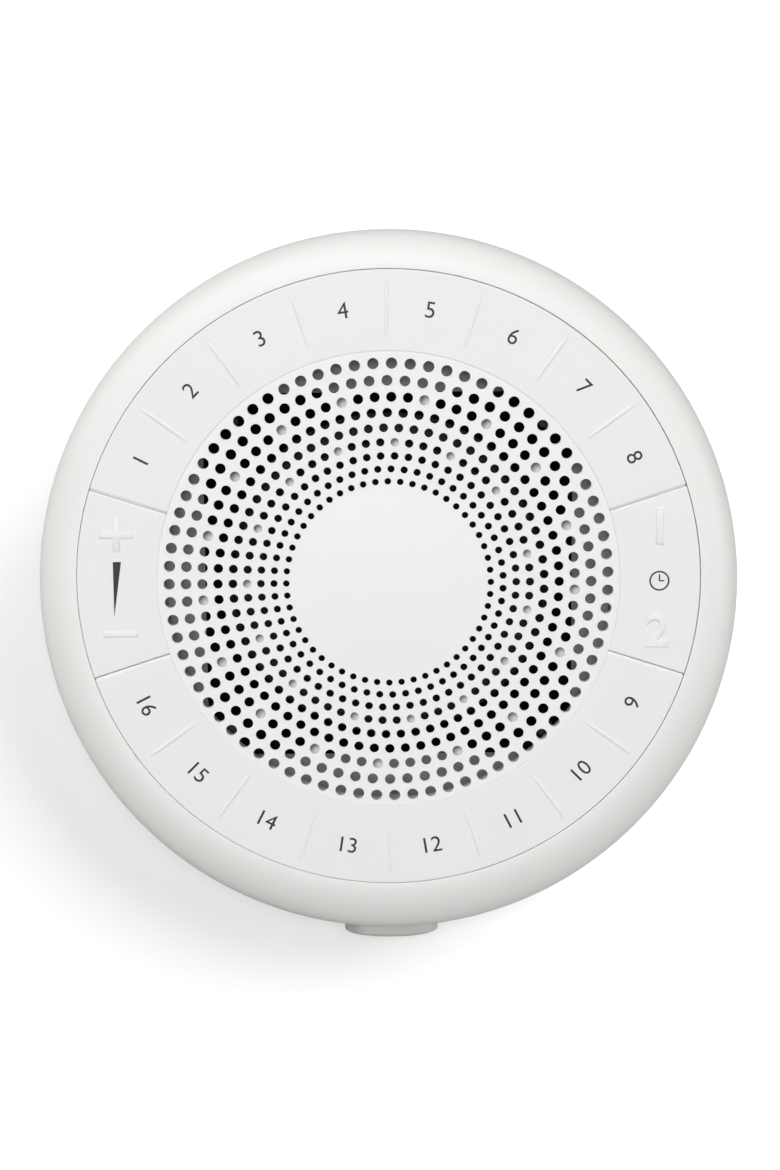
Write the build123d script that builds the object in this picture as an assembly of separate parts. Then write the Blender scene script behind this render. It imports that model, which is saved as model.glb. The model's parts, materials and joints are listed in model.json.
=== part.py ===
"""White noise sound machine: a round housing with a sloping face, a perforated grille,
two strips of sound keys, two rocker keys, a power button and a small loudspeaker.

The housing stands on the plane z = 0 with its front towards -Y. Most inner pieces are
modelled in the face frame: its origin is the middle of the grille, its Z is the outward
normal of the sloping face and its X is the X of the part. Heights below the face are negative.
"""
from build123d import *
from math import asin, cos, pi, radians, sin, sqrt, tan
import os

# ---------------------------------------------------------------- driving dimensions (mm)
# housing
housing_radius = 73.5          # outside, at the foot of the wall
overall_height = 69.8          # floor to the top of the rim at the back
face_tilt = 10.25              # degrees, down towards the front
face_offset = 0.6              # the face's middle, behind the housing's axis
wall_draft = 0.5               # degrees
wall = 2.4
rim_radius = 7.0               # rolled edge between wall and face
rim_width = 8.8                # from the foot of the wall to the opening for the keys
inner_bevel = 3.0              # inside the rolled edge
wall_foot_z = 4.0

# grille
grille_thickness = 1.6
grille_rows = (52, 55, 58, 62, 65, 68, 71, 72, 75)   # places in each ring of holes
first_row_r = 21.15            # round the bare middle
last_row_margin = 2.218        # outermost ring of holes to the grille's edge
row_growth = 0.067             # added to the pitch from ring to ring, halved
hole_share = 0.25              # radius of the innermost holes, to the pitch there
hole_growth = 0.06             # added to the hole radius from ring to ring
hole_sides = 4
first_bare_place = {3: 0, 6: 1}    # in these rings some places have no through hole
bare_step = 4                  # places from one bare place to the next
wider_bare_steps = {3: (3, 9), 6: (5, 7, 13)}    # these steps are one place wider
skirt_wall = 0.9
skirt_depth = 4.0
ledge_depth = 2.9              # top of the ledge below the face
ledge_width = 1.5
grille_screw_angles = (10, 90, 170, 190, 270, 350)
grille_screw_offset = 3.0      # outside the grille's edge
grille_leg_r = 2.4
grille_leg_play = 0.8          # legs below the keys' hooks, when pressed

# keys
key_ring_width = 16.4
seam_gap = 0.4                 # between rim and keys
inner_gap = 0.3                # between grille and keys
key_gap = 0.35                 # between two keys
key_thickness = 2.0
rocker_arc = 36.0              # degrees
zones_per_strip = 8
flange_width = 1.9             # the keys' outer flange, tucked under the rim
flange_thickness = 1.0
flange_wall = 1.4
hook_wall = 1.0                # the keys' inner hook, tucked under the grille's ledge
hook_reach = 0.9
hook_thickness = 0.7
hook_lift = 0.1                # keys rest on the ledge before their flanges meet the rim
key_travel = 0.5
strip_play = 0.35              # strip flange below the rim's lip, and hook below the ledge
rocker_play = 0.7
ridge_start = 2.7              # from the keys' inner edge
ridge_end = 2.0                # from the keys' outer edge
ridge_width = 0.9
ridge_height = 0.25
plunger_r = 1.4
plunger_length = 1.1           # below the key's plate
rocker_dome_angle = 11.3       # degrees from the rocker's middle to each of its domes

# rocker pivots
pivot_depth = 3.9
pivot_offset = 0.3             # the lug's middle, outside the middle of the key ring
pivot_pin_r = 0.9
pivot_running = 0.05           # radial clearance in the carrier's ears
pivot_press = 0.02             # radial clearance in the rocker's lug
lug_length = 6.4
lug_width = 3.2
ear_thickness = 1.8
ear_width = 3.6
ear_tip_r = 1.3                # round end, clear below the key
ear_gap = 0.2
pin_overhang = 0.2

# screws
small_screw_r = 1.0
small_head_r = 1.8
small_head_height = 1.2
screw_clearance = 0.02         # pilot holes
screw_play = 0.2               # through holes
pilot_roof = 0.8               # left above a blind pilot hole
pilot_spare = 0.5              # pilot hole past the screw's tip
boss_gap = 0.4                 # cuts round bosses, ears and screw heads
root = 0.2                     # how far ribs and bosses reach into what carries them

# key board and domes
board_thickness = 1.6
key_board_play = 0.2           # board below the keys' flanges, when pressed
key_board_inset = 3.4          # its inner edge, outside the grille's edge
key_board_rim = 0.7            # its outer edge, inside the rim's opening
dome_sheet = 0.6
dome_sheet_half = 2.4          # half its width
dome_sheet_arc = 12.0          # degrees, under each end of a rocker
dome_sheet_end = 4.0           # degrees, from a strip's end to its sheet
dome_base_r = 2.3
dome_tip_r = 1.6
dome_gap = 0.1                 # dome tip below the key's plunger
key_screw_offset = 4.1         # inside the rim's opening
key_screw_angles = (54, 90, 126, 234, 270, 306)
key_screw_length = 4.0
key_post_r = 2.3

# carrier
carrier_inset = 7.5            # inside the foot of the housing's wall
carrier_plate = 2.0
carrier_depth = 10.5           # top of the plate below the face
carrier_wall = 3.0
carrier_wall_inset = 0.5
carrier_boss_r = 3.2
carrier_boss_height = 3.6
carrier_boss_angles = (45, 135, 225, 315)

# loudspeaker
speaker_side = 77.0
speaker_corner_r = 6.0
speaker_flange = 1.1
speaker_screw_inset = 5.6
gasket_thickness = 0.5
gasket_gap = 0.7               # opening round the basket
basket_rim = 4.0               # from the throat to the middle of a side
basket_taper = 9.9             # the back's radius inside the throat's
basket_depth = 16.5
basket_wall = 1.2
window_half = 8.0
window_margin = 4.0
surround_width = 6.5
surround_play = 0.6            # roll inside the throat
surround_skin = 0.6
surround_lip = 0.5
surround_facets = 6
cone_wall = 0.8
cone_depth = 9.5
cone_drop = 1.4                # edge of the cone below the basket's front
cone_excursion = 1.5
cap_overhang = 1.6             # dust cap outside the voice coil
cap_rise = 3.6
cap_skin = 0.5
cap_facets = 4
coil_r = 10.2
coil_wall = 0.4
coil_spare = 1.0               # coil below the top plate at full travel
spider_height = 3.5
spider_waves = 2
spider_depth = 0.5
spider_skin = 0.5
top_plate_r = 24.0
top_plate_thickness = 2.0
magnet_r = 25.0
magnet_hole_r = 12.0
magnet_thickness = 8.0
yoke_thickness = 3.0
air_gap = 0.5                  # each side of the voice coil
terminal_half = 6.0
terminal_depth = 5.7
terminal_thickness = 0.8
solder_lug_half = 0.8
solder_lug_x = 3.0
solder_lug_thickness = 0.4

# power button and its switch
button_below_top = 44.8        # its middle below the top of the rim
button_width = 20.4
button_height = 9.0
button_proud = 3.6
button_clearance = 0.3
button_edge = 1.2
button_flange = 1.3
button_flange_thickness = 1.2
button_seat = 0.35
button_stem_r = 2.5
button_stem = 1.8
button_travel = 0.5
switch_plunger_r = 1.6
switch_plunger_play = 0.05
switch_body = 6.2
switch_depth = 3.4
switch_nose = 1.2              # plunger length outside the switch body
switch_plunger_seat = 1.0      # and inside it, at rest
switch_board_width = 38.0
switch_board_height = 11.0
switch_post_x = 15.5
switch_post_r = 2.8
switch_screw_length = 5.5

# base
base_bottom = 2.0
base_thickness = 2.4
base_inset = 1.4
base_chamfer = 1.0
locating_height = 3.4
locating_wall = 2.0
locating_gap = 0.3
pad_r = 6.5                    # rubber feet
pad_inset = 14.5               # their middles, inside the foot of the wall
pad_recess = 0.8
pad_play = 0.1
pad_chamfer = 0.5
pad_angles = (0, 90, 180, 270)
case_screw_inset = 6.9         # inside the foot of the wall
case_screw_angles = (45, 135, 225, 315)
case_screw_r = 1.5
case_screw_length = 13.0       # in the housing's towers
case_head_r = 3.0
case_head_height = 2.0
tower_r = 4.8
tower_height = 16.0

# main board and power inlet
main_board_half = 28.0
main_board_depth = 26.0
main_board_inset = 11.5        # its back edge, inside the foot of the wall
standoff_height = 5.2
standoff_r = 2.6
standoff_x = 24.0
standoff_inset = 4.0
board_screw_length = 5.0
jack_width = 9.0
jack_length = 14.0
jack_height = 11.0
jack_axis_height = 6.2         # above the board
jack_bore_r = 2.9
jack_bore_depth = 10.0
jack_pin_r = 1.0
jack_setback = 1.6             # jack face behind the inside of the wall
inlet_r = 5.75
# radius, height, x and distance from the board's back edge
capacitors = ((5.0, 13.0, -14.0, 16.0), (4.0, 10.0, 8.0, 21.0))
# width, depth, height, x and distance from the board's back edge
chips = ((4.0, 6.0, 1.6, 9.0, 7.0), (9.0, 5.0, 1.8, -14.5, 5.0))

# leads inside
plug_height = 5.0
plug_depth = 4.0
plug_rim = 1.5                 # plug wider than its lead, on each side
lead_width = 2.8               # twin leads
lead_thickness = 1.4
lead_clearance = 0.3
speaker_plug_x = 0.0
speaker_plug_inset = 13.0      # from the board's back edge
switch_plug_x = -13.0
ribbon_x = 18.0
ribbon_width = 10.0
ribbon_thickness = 0.4
ribbon_slot = 0.6              # slot round the ribbon
ribbon_plug_height = 3.0
ribbon_plug_inset = 16.0
ribbon_start = 2.0             # where it leaves the key board, inside the middle of the key ring

# ---------------------------------------------------------------- derived values
tilt = radians(face_tilt)
top_radius = housing_radius - overall_height * tan(radians(wall_draft))
rim_axis_r = top_radius - rim_radius
face_z = overall_height - rim_radius + rim_radius / cos(tilt) - (rim_axis_r - face_offset) * tan(tilt)
face = Plane(origin=(0, face_offset, face_z), x_dir=(1, 0, 0), z_dir=(0, -sin(tilt), cos(tilt)))

face_opening_r = housing_radius - rim_width
key_outer_r = face_opening_r - seam_gap
key_inner_r = key_outer_r - key_ring_width
grille_r = key_inner_r - inner_gap
ring_middle_r = (key_inner_r + key_outer_r) / 2
last_row = len(grille_rows) - 1
row_pitch = (grille_r - last_row_margin - first_row_r) / last_row - row_growth * (last_row - 1)
ledge_top = -ledge_depth
flange_r = key_outer_r + flange_width
hook_outer_r = grille_r + ledge_width + inner_gap + hook_wall
strip_arc = 180.0 - rocker_arc
upper_start = rocker_arc / 2
lower_start = 180.0 + rocker_arc / 2
zone_arc = strip_arc / zones_per_strip
plunger_bottom = -key_thickness - plunger_length
dome_tip_z = plunger_bottom - dome_gap
lug_inner_x = ring_middle_r + pivot_offset - lug_length / 2
lug_outer_x = lug_inner_x + lug_length
grille_screw_circle_r = grille_r + grille_screw_offset
grille_leg_top = -skirt_depth - rocker_play - hook_thickness - key_travel - grille_leg_play
key_board_top = -wall - rocker_play - flange_thickness - key_travel - key_board_play
key_board_bottom = key_board_top - board_thickness
key_board_inner_r = grille_r + key_board_inset
key_board_outer_r = face_opening_r - key_board_rim
key_screw_circle_r = face_opening_r - key_screw_offset

carrier_r = housing_radius - carrier_inset
carrier_top = -carrier_depth
carrier_bottom = carrier_top - carrier_plate
carrier_wall_outer_r = carrier_r - carrier_wall_inset
carrier_boss_circle_r = carrier_wall_outer_r
carrier_boss_top = carrier_top + carrier_boss_height

basket_throat_r = speaker_side / 2 - basket_rim
basket_back_r = basket_throat_r - basket_taper
speaker_hole_r = basket_throat_r + basket_wall + gasket_gap
speaker_screw_half = speaker_side / 2 - speaker_screw_inset
cone_outer_r = basket_throat_r - surround_width
flange_bottom = carrier_top + gasket_thickness
flange_top = flange_bottom + speaker_flange
basket_back = flange_bottom - basket_depth
top_plate_back = basket_back - top_plate_thickness
magnet_back = top_plate_back - magnet_thickness
yoke_back = magnet_back - yoke_thickness
coil_outer_r = coil_r + coil_wall / 2
coil_inner_r = coil_r - coil_wall / 2
spider_z = basket_back + spider_height
spider_ledge_r = basket_back_r - 1.0
cone_top = flange_top - cone_drop
cone_neck_z = cone_top - cone_depth
terminal_z = basket_back + 0.42 * basket_depth
terminal_start = basket_back_r + (basket_taper + basket_wall) * 0.45 + lead_clearance
terminal_end = terminal_start + terminal_depth

base_top = base_bottom + base_thickness
locating_top = base_top + locating_height
pad_circle_r = housing_radius - pad_inset
case_screw_circle_r = housing_radius - case_screw_inset
case_head_seat = base_bottom + case_head_height + boss_gap

main_board_back = housing_radius - main_board_inset
main_board_front = main_board_back - main_board_depth
main_board_bottom = base_top + standoff_height
main_board_top = main_board_bottom + board_thickness
standoff_places = [
    (x, y)
    for x in (-standoff_x, standoff_x)
    for y in (main_board_front + standoff_inset, main_board_back - standoff_inset)
]
speaker_plug_y = main_board_back - speaker_plug_inset
ribbon_plug_y = main_board_back - ribbon_plug_inset
ribbon_y = ring_middle_r - ribbon_start

button_z = overall_height - button_below_top
inlet_z = main_board_top + jack_axis_height
wall_at_button = housing_radius - button_z * tan(radians(wall_draft))
wall_at_inlet = housing_radius - inlet_z * tan(radians(wall_draft))
flange_half = button_width / 2 + button_flange
button_flange_y = -sqrt((wall_at_button - wall) ** 2 - flange_half**2) + button_seat
stem_end_y = button_flange_y + button_flange_thickness + button_stem
switch_front_y = stem_end_y + switch_nose
switch_board_y = switch_front_y + switch_depth
jack_face_y = wall_at_inlet - wall - jack_setback
origin_shift = (wall_at_button + button_proud - housing_radius) / 2


# ---------------------------------------------------------------- shared shapes
def turned(points, start=0.0, arc=360.0):
    """Solid of revolution about Z. Each point is a radius and a height."""
    outline = make_face(Polyline(*[(r, 0, z) for r, z in points], close=True))
    return Rot(0, 0, start) * revolve(outline, Axis.Z, arc)


def ring(inner, outer, bottom, top, start=0.0, arc=360.0):
    return turned([(inner, bottom), (outer, bottom), (outer, top), (inner, top)], start, arc)


def post(radius, bottom, top, x=0.0, y=0.0):
    """Upright cylinder between two heights."""
    return Pos(x, y, (bottom + top) / 2) * Cylinder(radius, top - bottom)


def block(x0, x1, y0, y1, z0, z1):
    return Pos((x0 + x1) / 2, (y0 + y1) / 2, (z0 + z1) / 2) * Box(x1 - x0, y1 - y0, z1 - z0)


def along_y(radius, y0, y1, x, z):
    return Pos(x, (y0 + y1) / 2, z) * Rot(90, 0, 0) * Cylinder(radius, y1 - y0)


def along_x(radius, x0, x1, y, z):
    return Pos((x0 + x1) / 2, y, z) * Rot(0, 90, 0) * Cylinder(radius, x1 - x0)


def slot_along_y(width, height, y0, y1, z):
    """Prism of a round-ended slot, lying along Y."""
    outline = Plane(origin=(0, y0, z), x_dir=(1, 0, 0), z_dir=(0, 1, 0)) * SlotOverall(width, height)
    return extrude(outline, y1 - y0)


def polar(radius, angle):
    return radius * cos(radians(angle)), radius * sin(radians(angle))


def at_polar(radius, angles, shape):
    """Copies of a shape at places on a circle about Z."""
    return [Pos(*polar(radius, angle), 0) * shape for angle in angles]


def screw(shank_r, shank_length, head_r, head_height, seat_z, up=True):
    """Flat-topped screw along Z, with its head's seat at seat_z. up: the shank points to +Z."""
    way = 1 if up else -1
    head = post(head_r, *sorted((seat_z, seat_z - way * head_height)))
    return head + post(shank_r, *sorted((seat_z, seat_z + way * shank_length)))


def flat_lead(points, bend_r, width, thickness):
    """Flat cable in a plane of constant X, along straight runs joined by tangent arcs."""
    path = FilletPolyline(*points, radius=bend_r)
    section = Plane(origin=path @ 0, x_dir=(1, 0, 0), z_dir=path % 0) * Rectangle(width, thickness)
    return sweep(section, path)


# ---------------------------------------------------------------- housing
def housing_body(inset, ease, size):
    """The drafted housing cut by the sloping face, inset from the outside, with its edge eased."""
    height = overall_height + rim_radius
    far_radius = housing_radius - height * tan(radians(wall_draft))
    standing = (Align.CENTER, Align.CENTER, Align.MIN)
    body = Cone(housing_radius - inset, far_radius - inset, height, align=standing)
    lid_plane = face.offset(-inset)
    body = split(body, lid_plane, Keep.BOTTOM)
    lid = body.faces().filter_by(lambda f: abs(f.normal_at().dot(face.z_dir)) > 0.9999).sort_by(Axis.Z)[-1]
    return ease(lid.edges(), size)


def housing_shell():
    shell = housing_body(0, fillet, rim_radius) - housing_body(wall, chamfer, inner_bevel)
    shell -= Pos(0, 0, wall_foot_z / 2) * Cylinder(housing_radius + 1, wall_foot_z)
    shell -= face.location * post(face_opening_r, -wall * 2, rim_radius)

    tower = post(tower_r, locating_top, locating_top + tower_height)
    pilot = post(case_screw_r + screw_clearance, locating_top, locating_top + case_screw_length)
    shell += at_polar(case_screw_circle_r, case_screw_angles, tower)
    shell -= at_polar(case_screw_circle_r, case_screw_angles, pilot)

    gusset = block(0, 2 * rim_radius, -carrier_boss_r / 2, carrier_boss_r / 2, carrier_top, carrier_boss_top)
    boss = Pos(carrier_boss_circle_r, 0, 0) * (post(carrier_boss_r, carrier_top, carrier_boss_top) + gusset)
    pilot_top = carrier_boss_top - pilot_roof
    boss -= post(small_screw_r + screw_clearance, carrier_top, pilot_top, carrier_boss_circle_r)
    within_wall = housing_body(wall / 2, fillet, rim_radius - wall / 2)
    for angle in carrier_boss_angles:
        shell += (face.location * (Rot(0, 0, angle) * boss)) & within_wall

    post_root = -sqrt(wall_at_button**2 - switch_post_x**2) + wall / 2
    pilot_end = switch_board_y + board_thickness - switch_screw_length - pilot_spare
    for x in (-switch_post_x, switch_post_x):
        shell += along_y(switch_post_r, post_root, switch_board_y, x, button_z)
        shell -= along_y(small_screw_r + screw_clearance, pilot_end, switch_board_y, x, button_z)

    hole_width = button_width + 2 * button_clearance
    hole_height = button_height + 2 * button_clearance
    shell -= slot_along_y(hole_width, hole_height, -housing_radius - 1, -housing_radius + 3 * wall, button_z)
    shell -= along_y(inlet_r, housing_radius - 3 * wall, housing_radius + 1, 0, inlet_z)
    return shell


def base_cover():
    outer = housing_radius - base_inset
    locating_r = housing_radius - wall - locating_gap
    base = turned([
        (0, base_bottom), (outer - base_chamfer, base_bottom), (outer, base_bottom + base_chamfer),
        (outer, wall_foot_z), (locating_r, wall_foot_z), (locating_r, locating_top),
        (locating_r - locating_wall, locating_top), (locating_r - locating_wall, base_top), (0, base_top),
    ])
    boss = post(tower_r - locating_gap, base_top, locating_top)
    counterbore = post(case_head_r + boss_gap, 0, case_head_seat)
    base += at_polar(case_screw_circle_r - locating_gap, case_screw_angles, boss)
    base -= at_polar(case_screw_circle_r, case_screw_angles, counterbore)
    base -= at_polar(case_screw_circle_r, case_screw_angles, post(case_screw_r + screw_play, 0, locating_top))
    base -= at_polar(pad_circle_r, pad_angles, post(pad_r + pad_play, 0, base_bottom + pad_recess))

    standoff = post(standoff_r, base_top, main_board_bottom)
    pilot_end = main_board_top - board_screw_length - pilot_spare
    pilot = post(small_screw_r + screw_clearance, pilot_end, main_board_bottom)
    for x, y in standoff_places:
        base += Pos(x, y, 0) * standoff
        base -= Pos(x, y, 0) * pilot
    return base


def rubber_feet():
    pad = post(pad_r, 0, base_bottom + pad_recess)
    pad = chamfer(pad.edges().filter_by(GeomType.CIRCLE).sort_by(Axis.Z)[0], pad_chamfer)
    return Compound(at_polar(pad_circle_r, pad_angles, pad))


def base_screws():
    length = locating_top - case_head_seat + case_screw_length - pilot_spare
    one = screw(case_screw_r, length, case_head_r, case_head_height, case_head_seat)
    return Compound(at_polar(case_screw_circle_r, case_screw_angles, one))


# ---------------------------------------------------------------- grille
def row_radius(row):
    return first_row_r + row_pitch * row + row_growth * row * (row - 1)


def hole_radius(row):
    return hole_share * row_pitch + hole_growth * row


def bare_places(row):
    """Places of a ring that stay closed, nearly evenly spread round it."""
    bare = []
    place = first_bare_place.get(row, grille_rows[row])
    while place < grille_rows[row]:
        bare.append(place)
        place += bare_step + (len(bare) in wider_bare_steps[row])
    return bare


def grille_hole(row, place):
    """Outline of one hole, a few-sided figure with the area of the round one."""
    angle = 180 + place * 360 / grille_rows[row]
    x, y = polar(row_radius(row), angle)
    circle_r = hole_radius(row) * sqrt(2 * pi / hole_sides / sin(2 * pi / hole_sides))
    corners = [polar(circle_r, angle + k * 360 / hole_sides) for k in range(hole_sides)]
    return Wire.make_polygon([(x + dx, y + dy, 0) for dx, dy in corners])


def grille_plate():
    holes = [
        grille_hole(row, place)
        for row, places in enumerate(grille_rows)
        for place in range(places)
        if place not in bare_places(row)
    ]
    disc = Solid.extrude(Face(Wire.make_circle(grille_r), holes), Vector(0, 0, -grille_thickness))
    skirt_r = grille_r - skirt_wall
    skirt = turned([
        (skirt_r, -grille_thickness), (grille_r, -grille_thickness), (grille_r, ledge_top),
        (grille_r + ledge_width, ledge_top), (grille_r + ledge_width, -skirt_depth), (skirt_r, -skirt_depth),
    ])
    half = grille_leg_r
    leg_root = skirt_r + root
    arm = block(leg_root, grille_r + half / 4, -half, half, carrier_top, -skirt_depth)
    leg = block(leg_root, grille_screw_circle_r, -half, half, carrier_top, grille_leg_top)
    leg += post(half, carrier_top, grille_leg_top, grille_screw_circle_r)
    pilot_top = grille_leg_top - pilot_roof
    leg -= post(small_screw_r + screw_clearance, carrier_top, pilot_top, grille_screw_circle_r)
    skirt += [Rot(0, 0, angle) * (arm + leg) for angle in grille_screw_angles]
    return face.location * Part((disc + skirt).wrapped)


# ---------------------------------------------------------------- keys
def key_section(play):
    """Section of a key: top plate, outer flange below the rim's lip, inner hook below the ledge."""
    flange_z = -wall - play
    hook_z = -skirt_depth - play + hook_lift
    hook_inner_r = hook_outer_r - hook_wall
    return [
        (key_inner_r, 0), (key_outer_r, 0), (key_outer_r, flange_z), (flange_r, flange_z),
        (flange_r, flange_z - flange_thickness), (key_outer_r - flange_wall, flange_z - flange_thickness),
        (key_outer_r - flange_wall, -key_thickness), (hook_outer_r, -key_thickness),
        (hook_outer_r, hook_z - hook_thickness), (hook_inner_r - hook_reach, hook_z - hook_thickness),
        (hook_inner_r - hook_reach, hook_z), (hook_inner_r, hook_z), (hook_inner_r, -key_thickness),
        (key_inner_r, -key_thickness),
    ]


def key(start, arc, play):
    cut = block(0, flange_r + 1, -key_gap / 2, key_gap / 2, -8, 2)
    return turned(key_section(play), start, arc) - Rot(0, 0, start) * cut - Rot(0, 0, start + arc) * cut


def plunger(angle):
    return post(plunger_r, plunger_bottom, -key_thickness + root, *polar(ring_middle_r, angle))


def zone_angles(start):
    return [start + zone_arc * (k + 0.5) for k in range(zones_per_strip)]


def sound_keys(start):
    """One strip of sound keys, with a low ridge between neighbouring places."""
    strip = key(start, strip_arc, strip_play)
    inner, outer = key_inner_r + ridge_start, key_outer_r - ridge_end
    ridge = block(inner, outer, -ridge_width / 2, ridge_width / 2, -root, ridge_height)
    strip += [Rot(0, 0, start + zone_arc * k) * ridge for k in range(1, zones_per_strip)]
    strip += [plunger(angle) for angle in zone_angles(start)]
    return face.location * strip


def rocker(middle):
    """Rocker key on the side at the given angle, 0 or 180, with the lug for its pivot pin."""
    body = key(-rocker_arc / 2, rocker_arc, rocker_play)
    body += [plunger(side * rocker_dome_angle) for side in (-1, 1)]
    lug = block(lug_inner_x, lug_outer_x, -lug_width / 2, lug_width / 2, -pivot_depth, -key_thickness + root)
    lug += along_x(lug_width / 2, lug_inner_x, lug_outer_x, 0, -pivot_depth)
    lug = lug - along_x(pivot_pin_r + pivot_press, lug_inner_x - 1, lug_outer_x + 1, 0, -pivot_depth)
    return face.location * (Rot(0, 0, middle) * (body + lug))


def pivot_pin(middle):
    inner = lug_inner_x - ear_gap - ear_thickness - pin_overhang
    outer = lug_outer_x + ear_gap + ear_thickness + pin_overhang
    return face.location * (Rot(0, 0, middle) * along_x(pivot_pin_r, inner, outer, 0, -pivot_depth))


def dome_strip(angles, start, arc):
    """Silicone sheet on the key board with a dome under each plunger."""
    sheet_top = key_board_top + dome_sheet
    inner, outer = ring_middle_r - dome_sheet_half, ring_middle_r + dome_sheet_half
    sheet = ring(inner, outer, key_board_top, sheet_top, start, arc)
    height = dome_tip_z - sheet_top
    dome = Pos(0, 0, sheet_top + height / 2) * Cone(dome_base_r, dome_tip_r, height)
    return face.location * (sheet + at_polar(ring_middle_r, angles, dome))


def strip_domes(start):
    return dome_strip(zone_angles(start), start + dome_sheet_end, strip_arc - 2 * dome_sheet_end)


def rocker_domes(middle):
    """The two short dome sheets of a rocker, one on each side of its pivot."""
    angles = (middle - rocker_dome_angle, middle + rocker_dome_angle)
    half = dome_sheet_arc / 2
    return Compound([dome_strip([angle], angle - half, dome_sheet_arc) for angle in angles])


# ---------------------------------------------------------------- carrier and key board
def ear_spans():
    """Where the two ears of a pivot stand, along the radius."""
    return (
        (lug_inner_x - ear_gap - ear_thickness, lug_inner_x - ear_gap),
        (lug_outer_x + ear_gap, lug_outer_x + ear_gap + ear_thickness),
    )


def key_board():
    board = ring(key_board_inner_r, key_board_outer_r, key_board_bottom, key_board_top)
    slot_end = ear_spans()[1][1] + boss_gap
    slot_half = ear_width / 2 + boss_gap
    for middle in (0, 180):
        board -= Rot(0, 0, middle) * block(0, slot_end, -slot_half, slot_half, key_board_bottom - 1, 0)
    hole = post(small_screw_r + screw_play, key_board_bottom, key_board_top)
    board -= at_polar(key_screw_circle_r, key_screw_angles, hole)
    return face.location * board


def key_board_screws():
    one = screw(small_screw_r, key_screw_length, small_head_r, small_head_height, key_board_top, up=False)
    return Compound([face.location * s for s in at_polar(key_screw_circle_r, key_screw_angles, one)])


def inner_frame():
    """Carrier plate for the loudspeaker, the key board, the grille and the rocker pivots."""
    frame = ring(speaker_hole_r, carrier_r, carrier_bottom, carrier_top)
    frame += ring(carrier_wall_outer_r - carrier_wall, carrier_wall_outer_r, carrier_top, key_board_bottom)
    key_post = post(key_post_r, carrier_top, key_board_bottom)
    pilot_end = key_board_top - key_screw_length - pilot_spare
    pilot = post(small_screw_r + screw_clearance, pilot_end, key_board_bottom)
    frame += at_polar(key_screw_circle_r, key_screw_angles, key_post)
    frame -= at_polar(key_screw_circle_r, key_screw_angles, pilot)

    notch = post(carrier_boss_r + boss_gap, carrier_top, key_board_bottom + 1)
    through = post(small_screw_r + screw_play, carrier_bottom, carrier_top)
    seat = post(carrier_boss_r, carrier_bottom, carrier_top)
    frame -= at_polar(carrier_boss_circle_r, carrier_boss_angles, notch)
    frame += at_polar(carrier_boss_circle_r, carrier_boss_angles, seat)
    frame -= at_polar(carrier_boss_circle_r, carrier_boss_angles, through)
    frame -= at_polar(grille_screw_circle_r, grille_screw_angles, through)

    for middle in (0, 180):
        for inner, outer in ear_spans():
            ear = block(inner, outer, -ear_width / 2, ear_width / 2, carrier_top, -pivot_depth)
            ear += along_x(ear_tip_r, inner, outer, 0, -pivot_depth)
            ear -= along_x(pivot_pin_r + pivot_running, inner - 1, outer + 1, 0, -pivot_depth)
            frame += Rot(0, 0, middle) * ear

    for x in (-speaker_screw_half, speaker_screw_half):
        for y in (-speaker_screw_half, speaker_screw_half):
            frame -= post(small_screw_r + screw_clearance, carrier_bottom, carrier_top, x, y)
    slot_x = ribbon_width / 2 + ribbon_slot
    slot_y = 2 * ribbon_slot
    frame -= block(
        ribbon_x - slot_x, ribbon_x + slot_x, ribbon_y - slot_y, ribbon_y + slot_y,
        carrier_bottom, carrier_top,
    )
    return face.location * frame


def frame_screws():
    length = carrier_boss_top - pilot_roof - pilot_spare - carrier_bottom
    one = screw(small_screw_r, length, small_head_r, small_head_height, carrier_bottom)
    return Compound([face.location * s for s in at_polar(carrier_boss_circle_r, carrier_boss_angles, one)])


def grille_screws():
    length = grille_leg_top - pilot_roof - pilot_spare - carrier_bottom
    one = screw(small_screw_r, length, small_head_r, small_head_height, carrier_bottom)
    return Compound([face.location * s for s in at_polar(grille_screw_circle_r, grille_screw_angles, one)])


# ---------------------------------------------------------------- loudspeaker
def speaker_square(bottom, top, hole_r):
    """Square plate with round corners, a round opening and four corner screw holes."""
    outline = RectangleRounded(speaker_side, speaker_side, speaker_corner_r) - Circle(hole_r)
    for x in (-speaker_screw_half, speaker_screw_half):
        for y in (-speaker_screw_half, speaker_screw_half):
            outline -= Pos(x, y) * Circle(small_screw_r + screw_play)
    return Pos(0, 0, bottom) * extrude(outline, top - bottom)


def speaker_basket():
    basket = speaker_square(flange_bottom, flange_top, basket_throat_r)
    well_r = coil_outer_r + 2
    well = turned([
        (basket_throat_r, flange_bottom + root), (basket_throat_r + basket_wall, flange_bottom + root),
        (basket_throat_r + basket_wall, flange_bottom), (basket_back_r, basket_back + basket_wall),
        (basket_back_r, basket_back), (well_r, basket_back), (well_r, basket_back + basket_wall),
        (basket_back_r - basket_wall, basket_back + basket_wall),
        (basket_throat_r, flange_bottom - basket_wall / 2),
    ])
    ledge_bottom = basket_back + basket_wall - root
    well += ring(spider_ledge_r - 1.6, spider_ledge_r, ledge_bottom, spider_z)
    window = block(
        basket_back_r - 4, basket_throat_r + 6, -window_half, window_half,
        basket_back + window_margin, flange_bottom - window_margin,
    )
    well -= [Rot(0, 0, angle) * window for angle in (45, 135, 225, 315)]
    return face.location * (basket + well)


def speaker_gasket():
    return face.location * speaker_square(carrier_top, flange_bottom, speaker_hole_r)


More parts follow.
